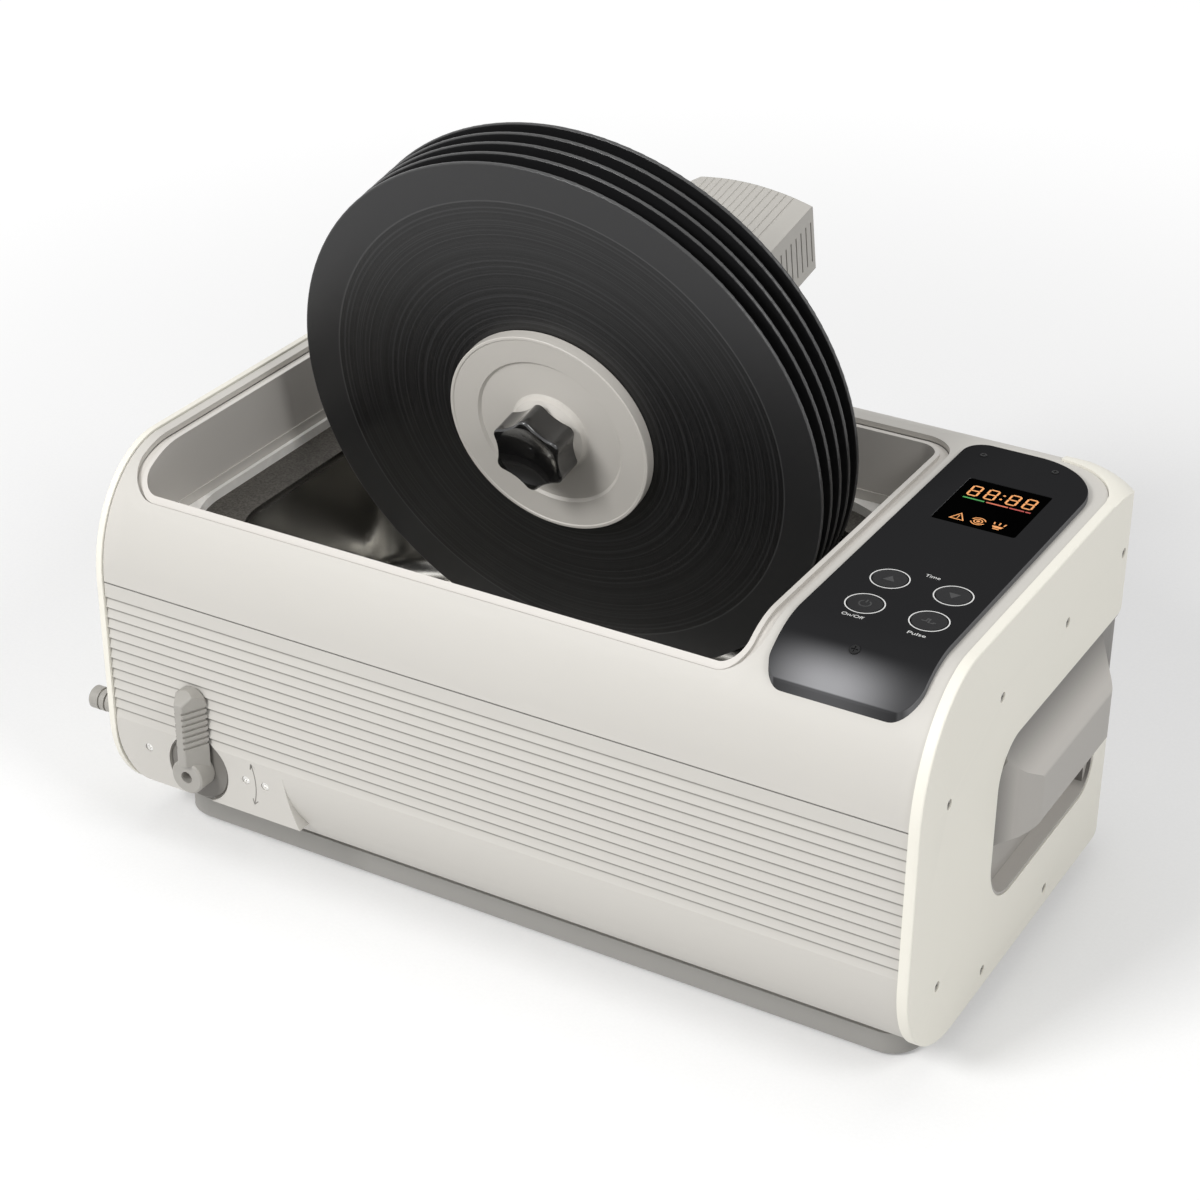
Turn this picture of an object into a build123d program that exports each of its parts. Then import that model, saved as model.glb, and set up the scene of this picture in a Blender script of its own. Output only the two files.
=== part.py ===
from build123d import *
from math import atan2, cos, pi, radians, sin, sqrt
import os

# Bench-top ultrasonic cleaner for gramophone records, in millimetres.
# Origin on the floor under the middle of the body, +X to the right along the
# length, +Y to the back, +Z up.  The record spindle leans forward, and its
# motor head stands on the rear edge of the body.

os.makedirs("parts", exist_ok=True)

# ---------------------------------------------------------------- body sizes
seam_x = 224.5             # shell ends here, the right end cap begins
left_seam_x = -229.4
cap_thickness = 6.0        # from the seam to the right end cap's outer face
left_cap_thickness = 4.2   # the left end cap is a thinner moulding
cap_face_x = seam_x + cap_thickness
left_cap_face_x = left_seam_x - left_cap_thickness
cut_overrun = 9.5          # cutters run this far past what they cut
body_reach = cap_face_x + cut_overrun
front_y = -140.0           # front wall
rear_y = 135.5             # rear wall
floor_gap_z = 14.0         # underside of the shell, top of the base tray
deck_z = 222.5             # flat top
parting_z = 157.0          # joint between lower and upper shell
parting_gap = 0.4
wall = 3.0                 # moulded wall
front_foot_radius = 58.0   # front lower edge
rear_foot_radius = 30.0
rear_top_radius = 17.5
shoulder_depth = 53.0      # front shoulder, an ellipse: depth along Y ...
shoulder_height = 65.0     # ... and height along Z
cap_proud = 1.2            # caps stand this far outside the shell's section
cap_gap = 0.3
corner_seam_radius = 36.5  # where the cap wraps the rear corner, seen from above
rear_corner_radius = 32.0
corner_overrun = 0.4       # the corner's arc runs a little past the rear wall
corner_brow_run = 20.3     # the top rounds down to the walls around the rear corners
cap_edge_radius = 1.0
seat_gap = 0.2             # between moulded pieces that sit in each other
slide_gap = 0.3            # between pieces that move past each other
running_gap = 0.05         # shaft in hole

# -------------------------------------------------- ledges, pad and openings
ledge_count = 12
ledge_top_z = 148.5
ledge_pitch = 6.06
ledge_depth = 1.5
pad_right_top_x = -122.6
pad_right_low_x = -112.4
pad_low_z = 42.6
pad_corner_x = left_seam_x + 19.4  # rounded lower left corner of the valve pad

well_left_x = -216.2       # inner wall of the well
well_right_x = 128.2
well_front_y = -122.0
well_rear_y = 103.5
well_corner = 11.0
lid_ledge = 7.6            # width of the ledge that a lid sits on ...
front_ledge = 3.4          # ... and at the front
lid_ledge_drop = 3.4       # how far the ledge lies under the deck
bead_width = 2.6           # raised bead between the ledge and the well
bead_drop = 1.2            # how far the bead lies under the deck
well_step_z = 186.0        # the well is a little narrower below this
well_step = 0.8

# --------------------------------------------------------------------- tank
tank_left_x = -190.0
tank_right_x = 115.0
tank_front_y = -98.0
tank_rear_y = 78.0
tank_corner = 40.0
tank_floor_z = 80.0
tank_floor_radius = 14.0
tank_sheet = 1.2
flange_z = 175.0           # top of the tank's flange
flange_left_x = -219.0
flange_right_x = 131.0
flange_front_y = -125.0
flange_rear_y = 106.0
flange_corner = 10.0
gasket_width = 2.4
gasket_height = 5.5
gasket_corner = 58.0
transducer_y = -10.0
transducer_pitch = 92.0
transducer_radius = 22.0

# --------------------------------------------------------------- base, panel
tray_half_length = 219.0
tray_half_depth = 105.0
tray_corner = 18.0
pad_thickness = 1.5        # rubber mat under the tray
pad_inset = 5.0
panel_left_x = 141.5
panel_right_x = 217.0
panel_front_y = -126.0
panel_rear_y = 111.0
panel_thickness = 3.0
window_left_x = 157.6
window_right_x = 201.9
window_front_y = 22.0
window_rear_y = 71.5
key_x = (167.3, 199.5)
key_y = (-45.2, -72.6)
key_radius = 8.4
key_flange_radius = 9.3    # holds the key in under the panel
key_travel = 0.8
key_proud = 0.1            # the keys lie almost flush
key_edge = 0.3

# ------------------------------------------------------------------- valve
valve_x = -176.2
valve_z = 60.4
valve_axis_y = -110.0      # the pipe through the valve
ball_radius = 8.0
stem_radius = 4.0
valve_bore = 3.0
lever_hub_radius = 9.7
lever_hub_front_y = -150.5
lever_front_y = -153.5
lever_height = 50.5
lever_half_width = 8.8     # at the wall; the lever narrows to a ridge in front
lever_ridge_width = 5.0
lever_nose = 5.0           # the top of the ridge slopes down to the front by this much
bezel_radius = 18.4
valve_screw_radius = 2.2
valve_screw_sink = 0.5     # the heads lie this far under the wall's face
valve_screw_spots = [(-208.6, 63.0), (-145.6, 63.0), (-133.4, 63.0)]
pipe_tip_x = -269.6
pipe_radius = 5.0

# ------------------------------------------------------ end grips and screws
grip_x = cap_face_x + 12.0         # outer face of the grips
recess_floor_x = cap_face_x - 2.5  # the face beside the grips lies near the cap's face
cup_floor_x = cap_face_x - 9.5     # back of the finger cup under a grip
grip_thickness = 9.0
cap_screw_spots = [(-109.0, 157.0), (-52.3, 184.0), (28.8, 184.0), (104.0, 187.5),
                   (-105.6, 52.5), (34.0, 24.0), (-46.7, 24.0)]
cap_screw_radius = 2.6

# ------------------------------------------- records, spindle and motor head
tilt = 11.29               # the spindle leans forward by this many degrees
spindle_x = -37.5
spindle_y = -8.0           # middle of the front record's front face
spindle_z = 238.0
record_count = 5
record_radius = 150.8
record_thickness = 2.0
record_pitch = 9.93
record_bore_radius = 3.62
shaft_radius = 3.5
label_radius = 50.0
clamp_radius = 57.7
knob_front_w = -27.5
knob_back_w = -11.0
knob_tip_reach = 23.9      # of the six tips before they are rounded
knob_lobes = 6
knob_dish_depth = 3.6      # the knob's front is a shallow dish
knob_dish_radius = 17.2
head_front_w = 95.0
head_rear_w = 215.0
head_half_width = 41.0
head_low_b = -23.0
head_plate = 3.0
head_wall = 2.5
gear_module = 0.8
spindle_teeth = 40
pinion_teeth = 20
gear_width = 8.0
bearing_radius = 8.0
bearing_width = 5.0
bearing_w = (103.0, 133.0)
bearing_to_gear = 12.0
motor_to_wall = 6.5
motor_radius = 12.5

lean = radians(tilt)
spindle_origin = Vector(spindle_x, spindle_y, spindle_z)
backward = (0, cos(lean), sin(lean))            # along the spindle, to the back
spindle_axis = Axis(spindle_origin, backward)
spindle_face = Plane(spindle_origin, x_dir=(1, 0, 0), z_dir=(0, -cos(lean), -sin(lean)))
spindle_side = Plane(spindle_origin, x_dir=backward, z_dir=(1, 0, 0))


def across_spindle(w):
    """Plane across the spindle, w millimetres behind the front record's face."""
    return spindle_face.offset(-w)


def save(piece, name):
    """Label a finished piece and write it."""
    piece.part.label = name
    export_step(piece.part, f"parts/{name}.step")


def body_section(x=0.0, inset=0.0, lift=0.0):
    """Side outline of the body on a plane across X, drawn in by inset."""
    front = front_y + inset
    rear = rear_y - inset
    low = floor_gap_z + inset + lift
    top = deck_z - inset + lift
    foot_y = front_y + front_foot_radius
    foot_z = floor_gap_z + front_foot_radius + lift
    shoulder_y = front_y + shoulder_depth
    shoulder_z = deck_z - shoulder_height + lift
    heel_y = rear_y - rear_foot_radius
    heel_z = floor_gap_z + rear_foot_radius + lift
    brow_y = rear_y - rear_top_radius
    brow_z = deck_z - rear_top_radius + lift
    with BuildSketch(Plane.YZ.offset(x)) as outline:
        with BuildLine():
            CenterArc((foot_y, foot_z), front_foot_radius - inset, 180, 90)
            Line((foot_y, low), (heel_y, low))
            CenterArc((heel_y, heel_z), rear_foot_radius - inset, 270, 90)
            Line((rear, heel_z), (rear, brow_z))
            CenterArc((brow_y, brow_z), rear_top_radius - inset, 0, 90)
            Line((brow_y, top), (shoulder_y, top))
            EllipticalCenterArc((shoulder_y, shoulder_z), shoulder_depth - inset,
                                shoulder_height - inset, start_angle=90, arc_size=90)
            Line((front, shoulder_z), (front, foot_z))
        make_face()
    return outline.sketch


def shell_plan(grow=0.0):
    """The shell seen from above: its rear corners are cut back for the caps."""
    left = left_seam_x - grow
    right = seam_x + grow
    corner_y = rear_y - rear_top_radius - corner_seam_radius
    radius = corner_seam_radius + grow
    far = rear_y + 30
    near = front_y - 30
    with BuildSketch(Plane.XY) as outline:
        with BuildLine():
            Line((left, near), (right, near))
            Line((right, near), (right, corner_y))
            CenterArc((right - radius, corner_y), radius, 0, 90)
            Line((right - radius, corner_y + radius), (right - radius, far))
            Line((right - radius, far), (left + radius, far))
            Line((left + radius, far), (left + radius, corner_y + radius))
            CenterArc((left + radius, corner_y), radius, 90, 90)
            Line((left, corner_y), (left, near))
        make_face()
    return outline.sketch


def cap_plan(inset=0.0):
    """The whole body seen from above, with its rounded rear corners."""
    left = left_cap_face_x + inset
    right = cap_face_x - inset
    rear = rear_y + cap_proud + corner_overrun - inset
    near = front_y - 30
    radius = rear_corner_radius - inset
    with BuildSketch(Plane.XY) as outline:
        with BuildLine():
            Line((left, near), (right, near))
            Line((right, near), (right, rear - radius))
            CenterArc((right - radius, rear - radius), radius, 0, 90)
            Line((right - radius, rear), (left + radius, rear))
            CenterArc((left + radius, rear - radius), radius, 90, 90)
            Line((left, rear - radius), (left, near))
        make_face()
    return outline.sketch


def plan_rectangle(x0, x1, y0, y1, radius, z=0.0):
    """Rounded rectangle seen from above, between the given sides."""
    with BuildSketch(Plane.XY.offset(z)) as outline:
        with Locations(((x0 + x1) / 2, (y0 + y1) / 2)):
            RectangleRounded(x1 - x0, y1 - y0, radius)
    return outline.sketch


# =============================================================== base and mat
with BuildPart() as base_tray:
    extrude(plan_rectangle(-tray_half_length, tray_half_length, -tray_half_depth,
                           tray_half_depth, tray_corner, pad_thickness),
            amount=floor_gap_z - pad_thickness)
    extrude(plan_rectangle(wall - tray_half_length, tray_half_length - wall,
                           wall - tray_half_depth, tray_half_depth - wall,
                           tray_corner - wall, pad_thickness + wall),
            amount=floor_gap_z, mode=Mode.SUBTRACT)
    with BuildSketch(Plane.XY.offset(pad_thickness)):
        with GridLocations(tray_half_length * 1.7, tray_half_depth * 1.5, 2, 2):
            Circle(7)
    extrude(amount=floor_gap_z - pad_thickness)
    chamfer(base_tray.edges().group_by(Axis.Z)[0].group_by(SortBy.LENGTH)[-1], 0.8)
save(base_tray, "base_tray")

with BuildPart() as rubber_mat:
    extrude(plan_rectangle(pad_inset - tray_half_length, tray_half_length - pad_inset,
                           pad_inset - tray_half_depth, tray_half_depth - pad_inset,
                           tray_corner - pad_inset), amount=pad_thickness)
save(rubber_mat, "rubber_mat")

# =============================================================== lower shell
board_x = (135.0, 190.0)
board_y = (-70.0, 80.0)
board_z = 28.0
fan_x = 160.0
fan_z = 100.0
fan_size = 60.0
fan_depth = 15.0
inlet_x = -150.0
inlet_z = 70.0
inlet_width = 27.5
inlet_height = 20.5
scoop_mid_x = (pad_right_top_x + pad_right_low_x) / 2 - 1.2
foot_top_z = floor_gap_z + front_foot_radius
pad_top_z = ledge_top_z - ledge_count * ledge_pitch
bezel_recess = 3.0

with BuildPart() as lower_shell:
    extrude(body_section(), amount=body_reach, both=True)
    extrude(body_section(inset=wall), amount=body_reach, both=True, mode=Mode.SUBTRACT)
    extrude(shell_plan(), amount=deck_z + 20, mode=Mode.INTERSECT)
    split(bisect_by=Plane.XY.offset(parting_z - parting_gap / 2), keep=Keep.BOTTOM)
    # Ledges across the front: each slopes out and ends in a sharp undercut.
    with BuildSketch(Plane.YZ):
        for row in range(ledge_count):
            ledge_z = ledge_top_z - row * ledge_pitch
            with BuildLine():
                Polyline((front_y - 1, ledge_z), (front_y + ledge_depth, ledge_z),
                         (front_y, ledge_z - ledge_pitch), (front_y - 1, ledge_z - ledge_pitch),
                         close=True)
            make_face()
    extrude(amount=body_reach, both=True, mode=Mode.SUBTRACT)
    # Flat pad that carries the valve; its right end is a curved scoop.
    with BuildSketch(Plane.XZ.offset(-front_y)):
        with BuildLine():
            Line((left_seam_x, pad_top_z), (left_seam_x, foot_top_z))
            EllipticalCenterArc((pad_corner_x, foot_top_z), pad_corner_x - left_seam_x,
                                foot_top_z - pad_low_z, start_angle=180, arc_size=90)
            Line((pad_corner_x, pad_low_z), (pad_right_low_x, pad_low_z))
            ThreePointArc((pad_right_low_x, pad_low_z), (scoop_mid_x, pad_low_z + 15),
                          (pad_right_top_x, pad_top_z))
            Line((pad_right_top_x, pad_top_z), (left_seam_x, pad_top_z))
        make_face()
    extrude(amount=-10)
    with Locations(Plane.XZ.offset(-front_y)):
        with Locations((valve_x, valve_z)):
            Hole(bezel_radius + 0.8, depth=bezel_recess)
            Hole(stem_radius + 1, depth=30)
        with Locations(*valve_screw_spots):
            CounterBoreHole(1.6, valve_screw_radius + seat_gap, valve_screw_sink + 1.0, depth=9)
    # Rear wall: fan grille and mains inlet.
    with BuildSketch(Plane.XZ.offset(-rear_y)):
        with Locations((fan_x, fan_z)):
            with GridLocations(0, 7, 1, 7):
                SlotOverall(46, 3.2)
        with Locations((inlet_x, inlet_z)):
            Rectangle(inlet_width, inlet_height)
    extrude(amount=wall + 2, both=True, mode=Mode.SUBTRACT)
    # Posts for the driver board, and a slotted window over the tray.
    with BuildSketch(Plane.XY.offset(floor_gap_z + wall)):
        for post_x in board_x:
            for post_y in board_y:
                with Locations((post_x + (5 if post_x == board_x[0] else -5),
                                post_y + (5 if post_y == board_y[0] else -5))):
                    Circle(3.5)
    extrude(amount=board_z - floor_gap_z - wall)
save(lower_shell, "lower_shell")

# ============================================================= upper housing
deck_window = (152.0, 210.8, -86.0, 80.0)
display_board_z = 211.5
display_board_thickness = 1.6
boss_spots = [(147.5, -80.0), (147.5, 73.0), (214.6, -80.0), (214.6, 73.0)]
panel_screw_spots = [(153.6, 97.6), (192.3, 98.0)]
panel_front_screw = (178.5, -106.6)
panel_screw_radius = 1.9   # of the two at the back ...
front_screw_radius = 2.6   # ... and of the one in front
panel_screw_hole = 1.6
# The front screw stands square to the shoulder, on top of the panel.
screw_run = panel_front_screw[1] - front_y - shoulder_depth
panel_rise = shoulder_height + panel_thickness
panel_run = shoulder_depth + panel_thickness
shoulder_fall = sqrt(1 - (screw_run / panel_run) ** 2)
shoulder_slope = atan2(screw_run / panel_run ** 2, shoulder_fall / panel_rise)
shoulder_plane = Plane((panel_front_screw[0], panel_front_screw[1],
                        deck_z - shoulder_height + panel_rise * shoulder_fall),
                       x_dir=(1, 0, 0), z_dir=(0, sin(shoulder_slope), cos(shoulder_slope)))

with BuildPart() as upper_housing:
    extrude(body_section(), amount=body_reach, both=True)
    extrude(body_section(inset=wall), amount=body_reach, both=True, mode=Mode.SUBTRACT)
    extrude(shell_plan(), amount=deck_z + 20, mode=Mode.INTERSECT)
    split(bisect_by=Plane.XY.offset(parting_z + parting_gap / 2), keep=Keep.TOP)
    extrude(plan_rectangle(well_left_x - lid_ledge, well_right_x + lid_ledge,
                           well_front_y - front_ledge, well_rear_y + lid_ledge,
                           well_corner + lid_ledge, flange_z),
            amount=deck_z, mode=Mode.SUBTRACT)
    extrude(plan_rectangle(*deck_window, 4, deck_z - wall - 1), amount=wall + 2,
            mode=Mode.SUBTRACT)
    with BuildSketch(Plane.XY.offset(display_board_z + display_board_thickness)):
        with Locations(*boss_spots):
            Circle(3.2)
    extrude(amount=deck_z - wall - display_board_z - display_board_thickness)
    with BuildSketch(Plane.XY.offset(deck_z)):
        with Locations(*panel_screw_spots):
            Circle(panel_screw_hole)
    extrude(amount=4, both=True, mode=Mode.SUBTRACT)
    with BuildSketch(shoulder_plane):
        Circle(panel_screw_hole)
    extrude(amount=-12, mode=Mode.SUBTRACT)
save(upper_housing, "upper_housing")

# ================================================== end caps and their grips
recess_top_z = 151.2
recess_low_z = 55.8
recess_points = [(-47.2, recess_low_z), (91.0, recess_low_z), (91.0, 73.0), (150.0, 122.0),
                 (150.0, recess_top_z), (-47.2, recess_top_z)]
recess_radii = [30.0, 16.0, 23.0]        # at the first, second and last point
recess_end_x = cap_face_x - rear_corner_radius
left_cap_shift = cap_face_x + left_cap_face_x


def recess_outline(x, shrink=0.0):
    """Outline of the hand recess in an end cap, on a plane across X."""
    rounded = (recess_points[0], recess_points[1], recess_points[-1])
    with BuildSketch(Plane.YZ.offset(x)) as outline:
        with BuildLine():
            Polyline(*recess_points, close=True)
        make_face()
        for corner, radius in zip(rounded, recess_radii):
            fillet(outline.vertices().sort_by_distance((*corner, 0))[0], radius)
        if shrink:
            offset(amount=-shrink, kind=Kind.INTERSECTION)
    return outline.sketch


def corner_trim(face_x, grow):
    """Space outside the rounded top of a rear corner, for a body grown by grow."""
    side = 1 if face_x > 0 else -1
    centre_x = (seam_x if side > 0 else left_seam_x) - side * corner_seam_radius
    centre_y = rear_y - rear_top_radius - corner_seam_radius
    brow_x = centre_x + corner_seam_radius
    brow_z = deck_z - rear_top_radius
    wall_x = brow_x + corner_brow_run + grow
    with BuildPart() as trim:
        with BuildSketch(Plane.XY):
            with Locations((centre_x + side * 50, centre_y + 50)):
                Rectangle(100, 100)
        extrude(amount=deck_z + 40)
        with BuildSketch(Plane.XZ.offset(-centre_y)):
            with BuildLine():
                Line((centre_x, -1), (wall_x, -1))
                Line((wall_x, -1), (wall_x, brow_z))
                EllipticalCenterArc((brow_x, brow_z), corner_brow_run + grow,
                                    rear_top_radius + grow, start_angle=0, arc_size=90)
                Line((brow_x, deck_z + grow), (centre_x, deck_z + grow))
                Line((centre_x, deck_z + grow), (centre_x, -1))
            make_face()
        revolve(axis=Axis((centre_x, centre_y, 0), (0, 0, 1)), mode=Mode.SUBTRACT)
    return trim.part


def cap_form(face_x):
    """End cap whose outer face lies at face_x, before it is pierced."""
    with BuildPart() as hollow:
        extrude(body_section(inset=wall), amount=face_x)
        extrude(cap_plan(wall), amount=deck_z + 20, mode=Mode.INTERSECT)
        add(corner_trim(face_x, -wall), mode=Mode.SUBTRACT)
    with BuildPart() as form:
        extrude(body_section(inset=-cap_proud), amount=face_x)
        extrude(cap_plan(), amount=deck_z + 20, mode=Mode.INTERSECT)
        outer_face = form.faces().sort_by_distance((2 * face_x, 0, 100))[0]
        fillet(outer_face.edges(), cap_edge_radius)
        add(corner_trim(face_x, cap_proud), mode=Mode.SUBTRACT)
        add(hollow.part, mode=Mode.SUBTRACT)
        extrude(shell_plan(cap_gap), amount=deck_z + 20, mode=Mode.SUBTRACT)
    return form.part


with BuildPart() as cap_holes:
    extrude(recess_outline(recess_end_x), amount=40)
    with BuildSketch(Plane.YZ.offset(cap_face_x + 1)):
        with Locations(*cap_screw_spots):
            Circle(cap_screw_radius + 0.1)
    extrude(amount=-2.6)
    with BuildSketch(Plane.YZ.offset(cap_face_x)):
        with Locations(*cap_screw_spots):
            Circle(1.6)
    extrude(amount=-10)

with BuildPart() as end_cap_right:
    add(cap_form(cap_face_x))
    add(cap_holes.part, mode=Mode.SUBTRACT)
save(end_cap_right, "end_cap_right")

with BuildPart() as left_cap_holes:
    mirror(cap_holes.part, about=Plane.YZ)
with BuildPart() as end_cap_left:
    add(cap_form(left_cap_face_x))
    add(left_cap_holes.part.moved(Location((left_cap_shift, 0, 0))), mode=Mode.SUBTRACT)
    with BuildSketch(Plane.YZ.offset(left_cap_face_x)):
        with Locations((valve_axis_y, valve_z)):
            Circle(pipe_radius + slide_gap)
    extrude(amount=20, both=True, mode=Mode.SUBTRACT)
save(end_cap_left, "end_cap_left")

grip_low_z = 96.5
grip_crest_z = 125.0
grip_top_x = cap_face_x - 3.5      # where the grip's top meets the opening
grip_ends = [(-46.4, grip_x - 13.5), (-31.0, grip_x - 4.9), (-17.0, grip_x), (75.0, grip_x),
             (88.5, grip_x - 13.5)]                         # Y and X along its outer side
grip_front_radius = 4.0
grip_rear_radius = 9.0
cup_rear_y = 84.0
finger_y = (-28.0, 72.0)   # hollow behind the grip
finger_top_z = 123.0
lining = 1.4

with BuildPart() as grip_form:
    with BuildSketch(Plane.XZ.offset(-grip_ends[0][0])):
        with BuildLine():
            Polyline((cup_floor_x, recess_top_z - seat_gap), (grip_top_x, recess_top_z - seat_gap),
                     (grip_x, grip_crest_z), (grip_x, grip_low_z), (cup_floor_x, grip_low_z),
                     close=True)
        make_face()
    extrude(amount=grip_ends[0][0] - grip_ends[-1][0])
    fillet(grip_form.edges().filter_by(Axis.Y).sort_by_distance((grip_x, 0, grip_crest_z))[0], 5)
    fillet(grip_form.edges().filter_by(Axis.Y).sort_by_distance((grip_x, 0, grip_low_z))[0], 3)
    # Rounded ends, seen from above.
    with BuildSketch(Plane.XY.offset(grip_low_z - 10)) as grip_plan:
        with BuildLine():
            Polyline((cup_floor_x, grip_ends[-1][0]), (cup_floor_x, grip_ends[0][0]),
                     (grip_ends[0][1], grip_ends[0][0]), (grip_ends[1][1], grip_ends[1][0]),
                     (grip_ends[2][1], grip_ends[2][0]), (grip_ends[3][1], grip_ends[3][0]),
                     (grip_ends[4][1], grip_ends[4][0]), close=True)
        make_face()
        for end, radius in zip(grip_ends[1:4], (30.0, grip_front_radius, grip_rear_radius)):
            fillet(grip_plan.vertices().sort_by_distance((end[1], end[0], 0))[0], radius)
    extrude(amount=80, mode=Mode.INTERSECT)
    extrude(recess_outline(cup_floor_x - 1, seat_gap), amount=30, mode=Mode.INTERSECT)

with BuildPart() as cup_block:
    extrude(recess_outline(cup_floor_x - wall, seat_gap), amount=recess_floor_x - cup_floor_x)
    with BuildSketch(Plane.YZ.offset(cup_floor_x - wall)):
        with Locations((cup_rear_y + wall, recess_low_z - 10)):
            Rectangle(200, finger_top_z - recess_low_z + 10 + wall, align=(Align.MAX, Align.MIN))
    extrude(amount=30, mode=Mode.INTERSECT)

with BuildPart() as cup_space:
    extrude(recess_outline(cup_floor_x, seat_gap + lining), amount=30)
    with BuildSketch(Plane.YZ.offset(cup_floor_x)):
        with Locations((cup_rear_y, recess_low_z)):
            Rectangle(200, grip_low_z - recess_low_z, align=(Align.MAX, Align.MIN))
    extrude(amount=30, mode=Mode.INTERSECT)
    with BuildSketch(Plane.YZ.offset(cup_floor_x)):
        with Locations((finger_y[0], grip_low_z - 2)):
            Rectangle(finger_y[1] - finger_y[0], finger_top_z - grip_low_z + 2,
                      align=(Align.MIN, Align.MIN))
    extrude(amount=grip_x - grip_thickness - cup_floor_x)

with BuildPart() as handle_right:
    # Thin rim that lines the opening, and a face that follows the corner of the body.
    extrude(recess_outline(recess_end_x + 1, seat_gap), amount=40)
    extrude(cap_plan(0.6), amount=deck_z, mode=Mode.INTERSECT)
    extrude(recess_outline(recess_end_x, seat_gap + lining), amount=40, mode=Mode.SUBTRACT)
    extrude(cap_plan(cap_face_x - recess_floor_x), amount=deck_z)
    extrude(cap_plan(cap_face_x - recess_floor_x + wall), amount=deck_z, mode=Mode.SUBTRACT)
    extrude(recess_outline(recess_end_x + 1, seat_gap), amount=40, mode=Mode.INTERSECT)
    add(cup_block.part)
    add(grip_form.part)
    add(cup_space.part, mode=Mode.SUBTRACT)
save(handle_right, "handle_right")

with BuildPart() as mirrored_handle:
    mirror(handle_right.part, about=Plane.YZ)
with BuildPart() as handle_left:
    add(mirrored_handle.part.moved(Location((left_cap_shift, 0, 0))))
save(handle_left, "handle_left")

with BuildPart() as cap_screw:
    with BuildSketch(Plane.YZ.offset(cap_face_x - 1.55)):
        Circle(cap_screw_radius)
    extrude(amount=-0.01 + 1.0)
    with BuildSketch(Plane.YZ.offset(cap_face_x - 1.55)):
        Circle(1.5)
    extrude(amount=-7)
    with BuildSketch(Plane.YZ.offset(cap_face_x - 0.56)):
        Rectangle(3.2, 0.7)
        Rectangle(0.7, 3.2)
    extrude(amount=-0.6, mode=Mode.SUBTRACT)

with BuildPart() as right_cap_screws:
    for spot_y, spot_z in cap_screw_spots:
        add(cap_screw.part.moved(Location((0, spot_y, spot_z))))
with BuildPart() as left_cap_screws:
    mirror(right_cap_screws.part, about=Plane.YZ)
with BuildPart() as cap_screws:
    add(right_cap_screws.part)
    add(left_cap_screws.part.moved(Location((left_cap_shift, 0, 0))))
save(cap_screws, "cap_screws")

# ====================================================== well, tank and gasket
with BuildPart() as lid_bead:
    extrude(body_section(lift=-bead_drop), amount=body_reach, both=True)
    extrude(plan_rectangle(well_left_x - bead_width, well_right_x + bead_width,
                           well_front_y - bead_width, well_rear_y + bead_width,
                           well_corner + bead_width, flange_z + 5),
            amount=deck_z - flange_z, mode=Mode.INTERSECT)

with BuildPart() as well_liner:
    extrude(body_section(lift=-lid_ledge_drop), amount=body_reach, both=True)
    extrude(plan_rectangle(well_left_x - lid_ledge + seat_gap, well_right_x + lid_ledge - seat_gap,
                           well_front_y - front_ledge + seat_gap, well_rear_y + lid_ledge - seat_gap,
                           well_corner + lid_ledge - seat_gap, flange_z),
            amount=deck_z - flange_z, mode=Mode.INTERSECT)
    add(lid_bead.part)
    extrude(plan_rectangle(well_left_x + well_step, well_right_x - well_step,
                           well_front_y + well_step, well_rear_y - well_step,
                           well_corner - well_step, flange_z),
            amount=deck_z - flange_z, mode=Mode.SUBTRACT)
    extrude(plan_rectangle(well_left_x, well_right_x, well_front_y, well_rear_y, well_corner,
                           well_step_z), amount=deck_z - well_step_z, mode=Mode.SUBTRACT)
save(well_liner, "well_liner")

with BuildPart() as tank_gasket:
    gasket_inset = well_step + seat_gap
    extrude(plan_rectangle(well_left_x + gasket_inset, well_right_x - gasket_inset,
                           well_front_y + gasket_inset, well_rear_y - gasket_inset,
                           well_corner - well_step, flange_z), amount=gasket_height)
    gasket_inset = well_step + gasket_width
    extrude(plan_rectangle(well_left_x + gasket_inset, well_right_x - gasket_inset,
                           well_front_y + gasket_inset, well_rear_y - gasket_inset,
                           gasket_corner, flange_z), amount=gasket_height, mode=Mode.SUBTRACT)
save(tank_gasket, "tank_gasket")

drain_x = -120.0
drain_y = -60.0
drain_bore = 5.0
fitting_radius = 12.0

with BuildPart() as tank_space:
    extrude(plan_rectangle(tank_left_x, tank_right_x, tank_front_y, tank_rear_y, tank_corner,
                           tank_floor_z), amount=flange_z - tank_floor_z + 5)
    fillet(tank_space.faces().sort_by(Axis.Z)[0].edges(), tank_floor_radius)
with BuildPart() as tank:
    extrude(plan_rectangle(tank_left_x - tank_sheet, tank_right_x + tank_sheet,
                           tank_front_y - tank_sheet, tank_rear_y + tank_sheet,
                           tank_corner + tank_sheet, tank_floor_z - tank_sheet),
            amount=flange_z - tank_floor_z + tank_sheet)
    fillet(tank.faces().sort_by(Axis.Z)[0].edges(), tank_floor_radius + tank_sheet)
    extrude(plan_rectangle(flange_left_x, flange_right_x, flange_front_y, flange_rear_y,
                           flange_corner, flange_z - tank_sheet), amount=tank_sheet)
    add(tank_space.part, mode=Mode.SUBTRACT)
    with Locations((drain_x, drain_y, tank_floor_z)):
        Hole(drain_bore + 1, depth=10)
save(tank, "tank")

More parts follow.
